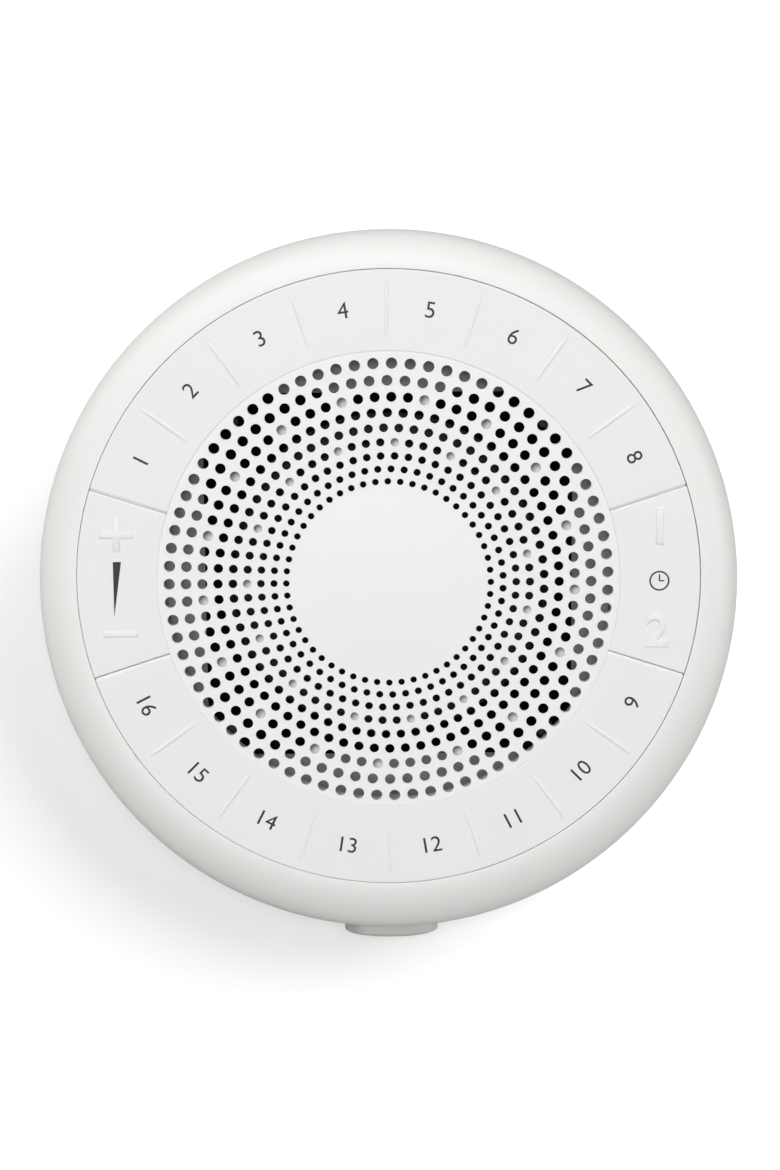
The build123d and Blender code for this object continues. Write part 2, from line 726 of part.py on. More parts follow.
def speaker_surround():
    """Half roll of rubber between the basket and the cone, with a lip at each side."""
    roll_r = surround_width / 2 - surround_play
    middle = cone_outer_r + roll_r
    steps = [pi * k / surround_facets for k in range(surround_facets + 1)]
    outside = [(middle - roll_r * cos(t), cone_top + roll_r * sin(t)) for t in steps]
    inner_r = roll_r - surround_skin
    inside = [(middle - inner_r * cos(t), cone_top + inner_r * sin(t)) for t in reversed(steps)]
    roll = turned(outside + inside)
    lip_outer_r = basket_throat_r - lead_clearance
    lip_inner_r = cone_outer_r - surround_width / 5
    outer_lip = ring(middle + inner_r + root, lip_outer_r, cone_top - surround_lip, cone_top)
    inner_lip = ring(lip_inner_r, cone_outer_r + root, cone_top, cone_top + surround_lip)
    return face.location * (roll + outer_lip + inner_lip)


def speaker_cone():
    edge_r = cone_outer_r - 0.1
    return face.location * turned([
        (coil_outer_r, cone_neck_z), (coil_outer_r + cone_wall, cone_neck_z),
        (edge_r - cone_wall, cone_top - 1.0), (edge_r, cone_top - 1.0),
        (edge_r, cone_top), (edge_r - 1.3, cone_top),
        (coil_outer_r, cone_neck_z + cone_wall),
    ])


def dust_cap():
    """Shallow dome over the voice coil, glued to the cone."""
    cap_r = coil_outer_r + cap_overhang
    ball_r = (cap_r**2 + cap_rise**2) / (2 * cap_rise)
    edge_angle = asin(cap_r / ball_r)
    slope = (cone_depth - 1.0) / (cone_outer_r - coil_outer_r)
    middle_z = cone_neck_z + cap_overhang * slope + cone_wall + cap_skin + cap_rise - ball_r
    steps = [edge_angle * k / cap_facets for k in range(cap_facets + 1)]
    outside = [(ball_r * sin(t), middle_z + ball_r * cos(t)) for t in steps]
    inner_r = ball_r - cap_skin
    inside = [(inner_r * sin(t), middle_z + inner_r * cos(t)) for t in reversed(steps)]
    return face.location * turned(outside + inside)


def voice_coil():
    overhang = cone_excursion + coil_spare
    return face.location * ring(coil_inner_r, coil_outer_r, top_plate_back - overhang, cone_neck_z - 0.05)


def speaker_spider():
    """Corrugated disc that centres the voice coil."""
    inner, outer = coil_outer_r + 0.05, spider_ledge_r - 0.1
    steps = spider_waves * 2
    pitch = (outer - inner) / steps
    crest = [(inner + pitch * k, spider_z + spider_depth * (k % 2)) for k in range(steps + 1)]
    return face.location * turned(crest + [(r, z + spider_skin) for r, z in reversed(crest)])


def speaker_top_plate():
    return face.location * ring(coil_outer_r + air_gap, top_plate_r, top_plate_back, basket_back)


def speaker_magnet():
    return face.location * ring(magnet_hole_r, magnet_r, magnet_back, top_plate_back)


def speaker_yoke():
    back = ring(0, top_plate_r, yoke_back, magnet_back)
    pole = post(coil_inner_r - air_gap, magnet_back - root, basket_back)
    return face.location * (back + pole)


def speaker_terminal():
    """Small insulated strip beside the basket with two solder lugs."""
    strip_top = terminal_z + terminal_thickness
    strip = block(-terminal_half, terminal_half, terminal_start, terminal_end, terminal_z, strip_top)
    lug = block(
        -solder_lug_half, solder_lug_half, terminal_end - 3, terminal_end + 1,
        strip_top, strip_top + solder_lug_thickness,
    )
    return face.location * (strip + [Pos(side * solder_lug_x, 0, 0) * lug for side in (-1, 1)])


def speaker_screws():
    length = speaker_flange + gasket_thickness + carrier_plate + pilot_spare
    one = screw(small_screw_r, length, small_head_r, small_head_height, flange_top, up=False)
    corners = (-speaker_screw_half, speaker_screw_half)
    return Compound([face.location * (Pos(x, y, 0) * one) for x in corners for y in corners])


# ---------------------------------------------------------------- power button and switch
def power_button():
    front_r = wall_at_button + button_proud
    prism = slot_along_y(button_width, button_height, -front_r - 2, button_flange_y + root, button_z)
    crowned = prism & (Pos(0, 0, button_z) * Cylinder(front_r, 4 * button_height))
    front = crowned.faces().sort_by(Axis.Y)[0]
    crowned = fillet(front.edges(), button_edge)
    flange = slot_along_y(
        button_width + 2 * button_flange, button_height + 2 * button_flange,
        button_flange_y, button_flange_y + button_flange_thickness, button_z,
    )
    stem = along_y(button_stem_r, button_flange_y + root, stem_end_y, 0, button_z)
    return crowned + flange + stem


def switch_plunger():
    return along_y(switch_plunger_r, stem_end_y, switch_front_y + switch_plunger_seat, 0, button_z)


def power_switch():
    half = switch_body / 2
    body = block(-half, half, switch_front_y, switch_board_y, button_z - half, button_z + half)
    bore_end = switch_front_y + switch_plunger_seat + button_travel + switch_plunger_play
    return body - along_y(switch_plunger_r + switch_plunger_play, switch_front_y - 1, bore_end, 0, button_z)


def switch_board():
    half_x, half_z = switch_board_width / 2, switch_board_height / 2
    back = switch_board_y + board_thickness
    board = block(-half_x, half_x, switch_board_y, back, button_z - half_z, button_z + half_z)
    for x in (-switch_post_x, switch_post_x):
        board -= along_y(small_screw_r + screw_play, switch_board_y, back, x, button_z)
    return board


def switch_board_screws():
    one = screw(small_screw_r, switch_screw_length, small_head_r, small_head_height, 0, up=False)
    back = switch_board_y + board_thickness
    return Compound([Pos(x, back, button_z) * Rot(-90, 0, 0) * one for x in (-switch_post_x, switch_post_x)])


# ---------------------------------------------------------------- main board
def main_board():
    half = main_board_half
    board = block(-half, half, main_board_front, main_board_back, main_board_bottom, main_board_top)
    for x, y in standoff_places:
        board -= post(small_screw_r + screw_play, main_board_bottom, main_board_top, x, y)
    return board


def board_screws():
    one = screw(small_screw_r, board_screw_length, small_head_r, small_head_height, main_board_top, up=False)
    return Compound([Pos(x, y, 0) * one for x, y in standoff_places])


def power_jack():
    half = jack_width / 2
    bore_end = jack_face_y - jack_bore_depth
    jack_top = main_board_top + jack_height
    body = block(-half, half, jack_face_y - jack_length, jack_face_y, main_board_top, jack_top)
    body -= along_y(jack_bore_r, bore_end, jack_face_y, 0, inlet_z)
    return body + along_y(jack_pin_r, bore_end - root, jack_face_y - 1, 0, inlet_z)


def on_board(width, depth, height, x, y):
    """Block on the main board, with its middle at x, y."""
    top = main_board_top
    return block(x - width / 2, x + width / 2, y - depth / 2, y + depth / 2, top, top + height)


def board_components():
    """Capacitors, amplifier and processor chips, and the three lead connectors."""
    top = main_board_top
    back = main_board_back
    cans = [post(radius, top, top + height, x, back - y) for radius, height, x, y in capacitors]
    packages = [on_board(width, depth, height, x, back - y) for width, depth, height, x, y in chips]
    plug_width = lead_width + 2 * plug_rim
    return Compound(cans + packages + [
        on_board(plug_width, plug_depth, plug_height, speaker_plug_x, speaker_plug_y),
        on_board(plug_width, plug_depth, plug_height, switch_plug_x, main_board_front + plug_depth / 2),
        on_board(ribbon_width + plug_rim, plug_depth, ribbon_plug_height, ribbon_x, ribbon_plug_y),
    ])


# ---------------------------------------------------------------- leads inside
def to_part(y, z):
    """Y and Z in the part of a point in the face frame."""
    return face_offset + y * cos(tilt) - z * sin(tilt), face_z + y * sin(tilt) + z * cos(tilt)


def speaker_leads():
    """Twin lead from the loudspeaker's solder lugs to its plug on the main board."""
    y0, z0 = to_part(terminal_end, terminal_z)
    plug_top = main_board_top + plug_height
    points = [
        (speaker_plug_x, y0, z0 - lead_clearance), (speaker_plug_x, y0 + 2, z0 - 10),
        (speaker_plug_x, speaker_plug_y, plug_top + 8), (speaker_plug_x, speaker_plug_y, plug_top),
    ]
    return flat_lead(points, 2.5 * lead_thickness, lead_width, lead_thickness)


def switch_leads():
    """Twin lead from the switch board along the base to its plug on the main board."""
    start_y = switch_board_y + board_thickness + root
    low = base_top + lead_thickness / 2 + lead_clearance
    plug_z = main_board_top + plug_height / 2
    points = [
        (switch_plug_x, start_y, button_z - 3), (switch_plug_x, start_y + 7, button_z - 4),
        (switch_plug_x, start_y + 14, low), (switch_plug_x, main_board_front - 15, low),
        (switch_plug_x, main_board_front - 7, plug_z), (switch_plug_x, main_board_front, plug_z),
    ]
    return flat_lead(points, 1.7 * lead_thickness, lead_width, lead_thickness)


def key_ribbon():
    """Flat cable from the key board through the carrier's slot to the main board."""
    start = to_part(ribbon_y, key_board_bottom)
    below = to_part(ribbon_y, carrier_bottom - 2)
    end_z = main_board_top + ribbon_plug_height
    points = [
        (ribbon_x, *start), (ribbon_x, *below), (ribbon_x, ribbon_plug_y + 5, (below[1] + end_z) / 2),
        (ribbon_x, ribbon_plug_y, end_z + 8), (ribbon_x, ribbon_plug_y, end_z),
    ]
    return flat_lead(points, 2.5 * lead_thickness, ribbon_width, ribbon_thickness)


# ---------------------------------------------------------------- all pieces
pieces = {
    "housing_shell": housing_shell,
    "base_cover": base_cover,
    "rubber_feet": rubber_feet,
    "base_screws": base_screws,
    "grille_plate": grille_plate,
    "upper_sound_keys": lambda: sound_keys(upper_start),
    "lower_sound_keys": lambda: sound_keys(lower_start),
    "volume_rocker": lambda: rocker(180),
    "timer_rocker": lambda: rocker(0),
    "volume_pivot_pin": lambda: pivot_pin(180),
    "timer_pivot_pin": lambda: pivot_pin(0),
    "upper_key_domes": lambda: strip_domes(upper_start),
    "lower_key_domes": lambda: strip_domes(lower_start),
    "volume_domes": lambda: rocker_domes(180),
    "timer_domes": lambda: rocker_domes(0),
    "key_board": key_board,
    "key_board_screws": key_board_screws,
    "inner_frame": inner_frame,
    "frame_screws": frame_screws,
    "grille_screws": grille_screws,
    "speaker_basket": speaker_basket,
    "speaker_gasket": speaker_gasket,
    "speaker_surround": speaker_surround,
    "speaker_cone": speaker_cone,
    "dust_cap": dust_cap,
    "voice_coil": voice_coil,
    "speaker_spider": speaker_spider,
    "speaker_top_plate": speaker_top_plate,
    "speaker_magnet": speaker_magnet,
    "speaker_yoke": speaker_yoke,
    "speaker_terminal": speaker_terminal,
    "speaker_screws": speaker_screws,
    "power_button": power_button,
    "switch_plunger": switch_plunger,
    "power_switch": power_switch,
    "switch_board": switch_board,
    "switch_board_screws": switch_board_screws,
    "main_board": main_board,
    "board_screws": board_screws,
    "board_components": board_components,
    "power_jack": power_jack,
    "speaker_leads": speaker_leads,
    "switch_leads": switch_leads,
    "key_ribbon": key_ribbon,
}

os.makedirs("parts", exist_ok=True)
for name, build in pieces.items():
    export_step(Pos(0, origin_shift, 0) * build(), f"parts/{name}.step")
print("face middle y, z:", round(face_offset + origin_shift, 3), round(face_z, 3))
print("origin shift:", round(origin_shift, 3))
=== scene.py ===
"""Looks of the white noise sound machine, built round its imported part."""
import json
from math import asin, atan2, cos, pi, radians, sin, sqrt, tan

import bmesh
import bpy
from mathutils import Matrix, Vector
from mathutils.geometry import delaunay_2d_cdt


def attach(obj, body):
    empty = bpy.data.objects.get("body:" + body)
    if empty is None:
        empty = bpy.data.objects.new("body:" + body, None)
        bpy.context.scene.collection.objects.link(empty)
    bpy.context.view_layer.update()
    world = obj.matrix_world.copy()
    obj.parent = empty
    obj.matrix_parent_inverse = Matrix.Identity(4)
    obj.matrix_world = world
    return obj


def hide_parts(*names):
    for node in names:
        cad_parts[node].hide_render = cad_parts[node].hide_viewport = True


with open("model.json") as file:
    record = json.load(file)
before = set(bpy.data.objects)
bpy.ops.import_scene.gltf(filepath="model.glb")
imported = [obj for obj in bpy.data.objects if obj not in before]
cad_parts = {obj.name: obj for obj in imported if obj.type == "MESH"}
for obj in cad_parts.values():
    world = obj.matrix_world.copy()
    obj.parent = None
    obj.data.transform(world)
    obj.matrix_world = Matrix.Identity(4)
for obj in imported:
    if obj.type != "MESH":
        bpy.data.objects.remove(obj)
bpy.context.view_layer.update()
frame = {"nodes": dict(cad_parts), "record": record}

# ---------------- sizes (mm until a mesh is made)
MM = 0.001
HOUSING_R = 73.5
DRAFT = radians(0.5)
WALL = 2.4
FOOT_Z = 4.0
AXIS_Y = 1.691  # housing axis, behind the middle of the footprint
TILT = radians(10.25)
FACE_Y = 0.6  # middle of the face, behind the housing's axis
FACE_Z = 58.107
CORNERS = (45, 135, 225, 315)  # degrees: case screws, and bosses for the carrier
CASE_SCREW_CIRCLE_R = 66.6
CARRIER_TOP = -10.5  # below the face
PILOT_R = 1.02  # bore for a small screw

OPENING_R = 64.62
GRILLE_R = 47.6
LEDGE_WIDTH = 1.5  # of the grille's ledge, which the keys hook under
LEDGE_FOOT = -4.0
KEY_INNER_R = 47.9
KEY_OUTER_R = 64.42
KEY_THICK = 2.0
KEY_GAP = 0.35
ROCKER_HALF = 18.0  # degrees
ZONE = 18.0  # degrees, of one sound place
ZONES = 8
STRIP_ARC = ZONE * ZONES

BUTTON_Z = 25.0
BUTTON_W = 20.4
BUTTON_H = 9.0
BUTTON_FLANGE = 1.3  # wider than the button on each side, behind the wall
BUTTON_FLANGE_THICK = 1.2
BUTTON_SEAT = 0.35  # the flange's front, behind the wall at the flange's ends
BUTTON_STEM_END = 66.593
BUTTON_BACK_R = HOUSING_R - BUTTON_Z * tan(DRAFT) - WALL
BUTTON_SEAT_Y = -sqrt(BUTTON_BACK_R**2 - (BUTTON_W / 2 + BUTTON_FLANGE) ** 2) + BUTTON_SEAT
SWITCH_BOARD_Y = BUTTON_SEAT_Y + BUTTON_FLANGE_THICK + 1.8 + 1.2 + 3.4  # stem, plunger and switch
INLET_Z = 17.4

HOUSING = Matrix.Translation((0, AXIS_Y * MM, 0)) @ Matrix.Scale(MM, 4)
FACE = (
    Matrix.Translation((0, (AXIS_Y + FACE_Y) * MM, FACE_Z * MM))
    @ Matrix.Rotation(TILT, 4, "X")
    @ Matrix.Scale(MM, 4)
)


# ---------------- shader maths
class Level:
    """A value among the nodes, for sums written as plain Python."""

    def __init__(self, nodes, socket):
        self.nodes = nodes
        self.socket = socket

    def maths(self, operation, *values):
        return self.nodes.node("ShaderNodeMath", {"operation": operation}, dict(enumerate(values)))

    def __add__(self, other):
        return self.maths("ADD", self, other)

    __radd__ = __add__

    def __sub__(self, other):
        return self.maths("SUBTRACT", self, other)

    def __rsub__(self, other):
        return self.maths("SUBTRACT", other, self)

    def __mul__(self, other):
        return self.maths("MULTIPLY", self, other)

    __rmul__ = __mul__

    def __gt__(self, other):
        return self.maths("GREATER_THAN", self, other)

    def __lt__(self, other):
        return self.maths("LESS_THAN", self, other)

    def clamped(self, low, high):
        """0 at low and below, 1 at high and above."""
        sockets = {"Value": self, "From Min": low, "From Max": high}
        return self.nodes.node("ShaderNodeMapRange", {"clamp": True}, sockets, "Result")


class Nodes:
    """A node tree whose new nodes all come from one method."""

    def __init__(self, tree):
        self.tree = tree

    def feed(self, socket, value):
        if isinstance(value, Level):
            self.tree.links.new(value.socket, socket)
        elif socket.type == "RGBA" and len(value) == 3:
            socket.default_value = (*value, 1.0)
        else:
            socket.default_value = value

    def node(self, kind, settings=None, inputs=None, output=0):
        """Any node: its settings first, then its sockets by name or number."""
        made = self.tree.nodes.new(kind)
        for key, value in (settings or {}).items():
            setattr(made, key, value)
        for key, value in (inputs or {}).items():
            self.feed(made.inputs[key], value)
        return Level(self, made.outputs[output])


class Finish(Nodes):
    """One material, with a Principled shader that its surface socket already uses."""

    def __init__(self, name):
        self.material = bpy.data.materials.new(name)
        self.material.use_nodes = True
        super().__init__(self.material.node_tree)
        self.shader = self.tree.nodes["Principled BSDF"]
        self.output = self.tree.nodes["Material Output"]

    def set(self, **values):
        """Sockets of the Principled shader, with _ for a space."""
        for key, value in values.items():
            self.feed(self.shader.inputs[key.replace("_", " ")], value)

    def place(self):
        return self.node("ShaderNodeTexCoord", None, None, "Object")

    def noise(self, scale, detail=2.0, roughness=0.5, at=None):
        sockets = {"Vector": at or self.place(), "Scale": scale, "Detail": detail, "Roughness": roughness}
        return self.node("ShaderNodeTexNoise", None, sockets)

    def stretched(self, scales):
        """The place, drawn out by other scales along X, Y and Z."""
        return self.node("ShaderNodeMapping", None, {"Vector": self.place(), "Scale": scales})

    def bands(self, direction, scale, distortion=0.0):
        sockets = {"Vector": self.place(), "Scale": scale, "Distortion": distortion}
        return self.node("ShaderNodeTexWave", {"bands_direction": direction}, sockets)

    def mix(self, factor, a, b):
        return self.node("ShaderNodeMix", {"data_type": "RGBA"}, {0: factor, 6: a, 7: b}, 2)

    def bump(self, height, distance):
        return self.node("ShaderNodeBump", None, {"Height": height, "Distance": distance})

    def cloud(self, level, dark, light, roughness, spread):
        """Colour and gloss that drift together with one level."""
        self.set(Base_Color=self.mix(level, dark, light), Roughness=roughness + spread * (level - 0.5))


def tinted(colour, factor):
    return tuple(min(1.0, c * factor) for c in colour)


def moulded_plastic(name, colour, roughness, grain=9000, depth=0.00001, mottle=0.012, gloss=0.42):
    """Spark-eroded moulding: fine grain, faint flow mottle and slightly uneven gloss."""
    finish = Finish(name)
    flow = finish.noise(scale=55, detail=3.0)
    finish.set(
        Base_Color=finish.mix(flow, tinted(colour, 1 - mottle), tinted(colour, 1 + mottle)),
        Roughness=roughness + 0.08 * (finish.noise(scale=420) - 0.5),
        Normal=finish.bump(finish.noise(scale=grain, roughness=0.6), depth),
        Specular_IOR_Level=gloss,
    )
    return finish.material


def soft_rubber(name, colour, roughness=0.75):
    """Matt rubber or sleeve with a dusty bloom."""
    finish = Finish(name)
    finish.cloud(finish.noise(scale=260, detail=4.0), colour, tinted(colour, 1.5), roughness, spread=0.12)
    finish.set(Normal=finish.bump(finish.noise(scale=3200, detail=3.0), 0.00002), Specular_IOR_Level=0.3)
    return finish.material


def machined_metal(name, colour, roughness, streak=(40, 40, 2600)):
    """Drawn or turned metal: fine lines one way and a little tarnish."""
    finish = Finish(name)
    lines = finish.noise(scale=1.0, detail=3.0, roughness=0.6, at=finish.stretched(streak))
    tarnish = finish.noise(scale=180, detail=4.0)
    finish.set(
        Base_Color=finish.mix(tarnish, colour, tinted(colour, 0.8)),
        Roughness=roughness + 0.2 * (lines - 0.5) + 0.12 * tarnish,
        Normal=finish.bump(lines, 0.000004),
        Metallic=1.0,
    )
    return finish.material


def circuit_board():
    """Solder mask over copper: straight tracks and bare pads, with the copper paler under the green."""
    finish = Finish("solder_mask_green")
    squares = {"distance": "CHEBYCHEV", "feature": "F1"}
    cells = finish.node("ShaderNodeTexVoronoi", squares, {"Vector": finish.place(), "Scale": 330.0})
    pads = cells < 0.16
    tracks = (finish.bands("DIAGONAL", 260.0) > 0.78) * (finish.noise(scale=90, detail=1.0) > 0.48)
    copper = (pads + tracks).clamped(0.0, 1.0)
    green = finish.mix(copper, (0.012, 0.085, 0.035), (0.03, 0.2, 0.075))
    finish.set(
        Base_Color=finish.mix(pads, green, (0.62, 0.6, 0.52)),
        Roughness=0.34 - 0.08 * copper,
        Metallic=0.55 * pads,
        Normal=finish.bump(copper, 0.00003),
    )
    return finish.material


def pressed_paper(name, colour):
    """Speaker cone paper: short fibres lying two ways in a matt felt."""
    finish = Finish(name)
    along, across = (
        finish.noise(scale=1.0, detail=4.0, roughness=0.7, at=finish.stretched(scales))
        for scales in ((900, 5200, 900), (5200, 900, 900))
    )
    fibre = (along + across) * 0.5
    finish.cloud(fibre, tinted(colour, 0.6), tinted(colour, 1.6), roughness=0.82, spread=0.1)
    finish.set(Normal=finish.bump(fibre, 0.00006), Specular_IOR_Level=0.25)
    return finish.material


def woven_cloth(name, colour):
    """Resin-dipped cloth: two sets of threads over and under each other."""
    finish = Finish(name)
    weave = finish.bands("X", 1500.0) * finish.bands("Y", 1500.0)
    finish.set(
        Base_Color=finish.mix(weave, tinted(colour, 0.45), colour),
        Roughness=0.78 - 0.12 * weave,
        Normal=finish.bump(weave, 0.00008),
    )
    return finish.material


def open_foam(name, colour):
    """Foam with open cells."""
    finish = Finish(name)
    cells = finish.node("ShaderNodeTexVoronoi", None, {"Vector": finish.place(), "Scale": 2600.0})
    finish.set(
        Base_Color=finish.mix(cells, colour, tinted(colour, 2.2)),
        Roughness=0.9 - 0.1 * cells,
        Normal=finish.bump(cells, 0.0001),
    )
    return finish.material


def wound_copper():
    """Enamelled wire wound turn on turn."""
    finish = Finish("enamelled_wire")
    turns = finish.bands("Z", 1700.0, distortion=0.2)
    finish.set(
        Base_Color=finish.mix(turns, (0.32, 0.1, 0.035), (0.72, 0.3, 0.13)),
        Roughness=0.28 + 0.15 * (1 - turns),
        Metallic=0.9 - 0.1 * turns,
        Normal=finish.bump(turns, 0.00004),
    )
    return finish.material


def sintered_ferrite():
    """Dark sintered magnet with fine pits."""
    finish = Finish("sintered_ferrite")
    pits = finish.noise(scale=1500, detail=5.0, roughness=0.7)
    finish.cloud(pits, (0.02, 0.02, 0.022), (0.07, 0.068, 0.066), roughness=0.5, spread=0.3)
    finish.set(Normal=finish.bump(pits, 0.00005))
    return finish.material


def silicone():
    """Milky moulded silicone with a dusty bloom."""
    finish = Finish("milky_silicone")
    bloom = finish.noise(scale=380, detail=3.0)
    finish.cloud(bloom, (0.6, 0.62, 0.62), (0.74, 0.75, 0.74), roughness=0.45, spread=0.15)
    finish.set(
        Normal=finish.bump(finish.noise(scale=4200), 0.00001),
        Subsurface_Weight=0.25,
        Subsurface_Scale=0.001,
    )
    return finish.material


def mixed_components():
    """Black epoxy and sleeves with a grey mould bloom, as on chips, cans and sockets."""
    finish = Finish("component_black")
    bloom = finish.noise(scale=500, detail=4.0)
    finish.cloud(bloom, (0.018, 0.018, 0.02), (0.05, 0.05, 0.055), roughness=0.42, spread=0.25)
    finish.set(Normal=finish.bump(finish.noise(scale=5200, detail=3.0), 0.00002))
    return finish.material


def painted_shade_dimple_finish():
    """Grille plastic with painted shade in the blind dimples: darker than the grille, greyer where a side
    looks to the front right, palest opposite, as painted light from the back left.
    """
    finish = Finish("dimple_bowls_painted_shade")
    facing = finish.node("ShaderNodeTexCoord", None, None, "Normal")
    # painted light: sides facing the back left are painted paler, sides facing away are painted in shade
    toward_painted_light = {0: facing, 1: (-0.75, 0.65, 0.0)}
    side = finish.node("ShaderNodeVectorMath", {"operation": "DOT_PRODUCT"}, toward_painted_light, "Value")
    finish.set(
        Base_Color=finish.mix(side.clamped(-0.75, 0.6), (0.15, 0.15, 0.15), (0.68, 0.69, 0.68)),
        Roughness=0.5 + 0.08 * (finish.noise(scale=420) - 0.5),
        Normal=finish.bump(finish.noise(scale=9000, roughness=0.6), 0.00001),
    )
    return finish.material


def printing_ink():
    """Screen-printed dark grey ink: nearly even, a touch thin in places."""
    finish = Finish("printed_ink")
    cover = finish.noise(scale=2600, detail=3.0)
    finish.cloud(cover, (0.02, 0.02, 0.021), (0.045, 0.045, 0.046), roughness=0.5, spread=0.12)
    finish.set(Specular_IOR_Level=0.35)
    return finish.material


finishes = {
    "housing_white": moulded_plastic("satin_white_housing", (0.85, 0.85, 0.832), 0.42),
    "key_white": moulded_plastic("satin_white_keys", (0.84, 0.842, 0.832), 0.5),
    "grille_white": moulded_plastic("satin_white_grille", (0.87, 0.87, 0.862), 0.48),
    # white button plastic painted darker, as painted shade for the shadow under the rim
    "button_white": moulded_plastic("button_white_painted_shade", (0.54, 0.55, 0.52), 0.45),
    "base_grey": moulded_plastic("grained_pale_base", (0.66, 0.66, 0.645), 0.55, grain=5200, depth=0.00003),
    # carrier plastic painted grey-brown, as painted shade for the dim space under the grille
    "carrier_white": moulded_plastic("carrier_moulding_painted_shade", (0.46, 0.415, 0.395), 0.6),
    "terminal_fibre": pressed_paper("brown_terminal_fibre", (0.3, 0.14, 0.06)),
    "rubber": soft_rubber("foot_rubber", (0.06, 0.06, 0.062)),
    "surround_rubber": soft_rubber("black_surround_rubber", (0.012, 0.012, 0.013), 0.55),
    "lead_black": soft_rubber("lead_sleeve", (0.018, 0.018, 0.02), 0.5),
    "screw_steel": machined_metal("zinc_plated_screw", (0.62, 0.63, 0.65), 0.32),
    "screw_black": machined_metal("blackened_screw", (0.05, 0.05, 0.052), 0.45),
    "pin_steel": machined_metal("ground_pin", (0.66, 0.66, 0.67), 0.2, streak=(2600, 40, 40)),
    "speaker_steel": machined_metal("zinc_plated_plate", (0.55, 0.56, 0.58), 0.36),
    "basket_black": moulded_plastic(
        "black_basket_paint", (0.002, 0.002, 0.0022), 0.8, grain=4200, depth=0.00002, mottle=0.2, gloss=0.05
    ),
    "gasket_foam": open_foam("black_gasket_foam", (0.02, 0.02, 0.022)),
    "cone_paper": pressed_paper("black_cone_paper", (0.016, 0.016, 0.017)),
    "spider_cloth": woven_cloth("dipped_spider_cloth", (0.55, 0.38, 0.16)),
    "coil_copper": wound_copper(),
    "ferrite": sintered_ferrite(),
    "silicone": silicone(),
    "circuit_board": circuit_board(),
    "components": mixed_components(),
    "switch_black": moulded_plastic("black_switch_case", (0.02, 0.02, 0.022), 0.4, mottle=0.2),
    "switch_plunger": moulded_plastic("pale_switch_plunger", (0.5, 0.5, 0.48), 0.4),
    "ribbon_white": moulded_plastic("flat_ribbon_sleeve", (0.72, 0.72, 0.7), 0.45),
}
ink = printing_ink()
# painted shade for the bowls of the blind dimples
dimple_painted_shade = painted_shade_dimple_finish()

for part in frame["record"]["subparts"]:
    held = frame["nodes"][part["node"]].data.materials
    held.clear()
    held.append(finishes[part["material_slot"]])


# ---------------- mesh helpers
def placed(name, data):
    """New object in the scene."""
    obj = bpy.data.objects.new(name, data)
    bpy.context.scene.collection.objects.link(obj)
    return obj


def worked_out(obj):
    """New mesh of an object, with its modifiers or bevel applied."""
    return bpy.data.meshes.new_from_object(obj.evaluated_get(bpy.context.evaluated_depsgraph_get()))


def shade(mesh, sharp=32.0):
    """Smooth, apart from edges sharper than an angle in degrees."""
    mesh.shade_smooth()
    mesh.set_sharp_from_angle(angle=radians(sharp))


def turned(angle):
    """Turn about Z, in degrees."""
    return Matrix.Rotation(radians(angle), 4, "Z")


def at_polar(radius, angle):
    """Place on a circle about Z, its X pointing outwards."""
    return turned(angle) @ Matrix.Translation((radius, 0, 0))


def set_down(radius, angle, turn, lift=0.0):
    """Place on a circle about Z, with a turn of its own."""
    x, y = radius * cos(radians(angle)), radius * sin(radians(angle))
    return Matrix.Translation((x, y, lift)) @ turned(turn)


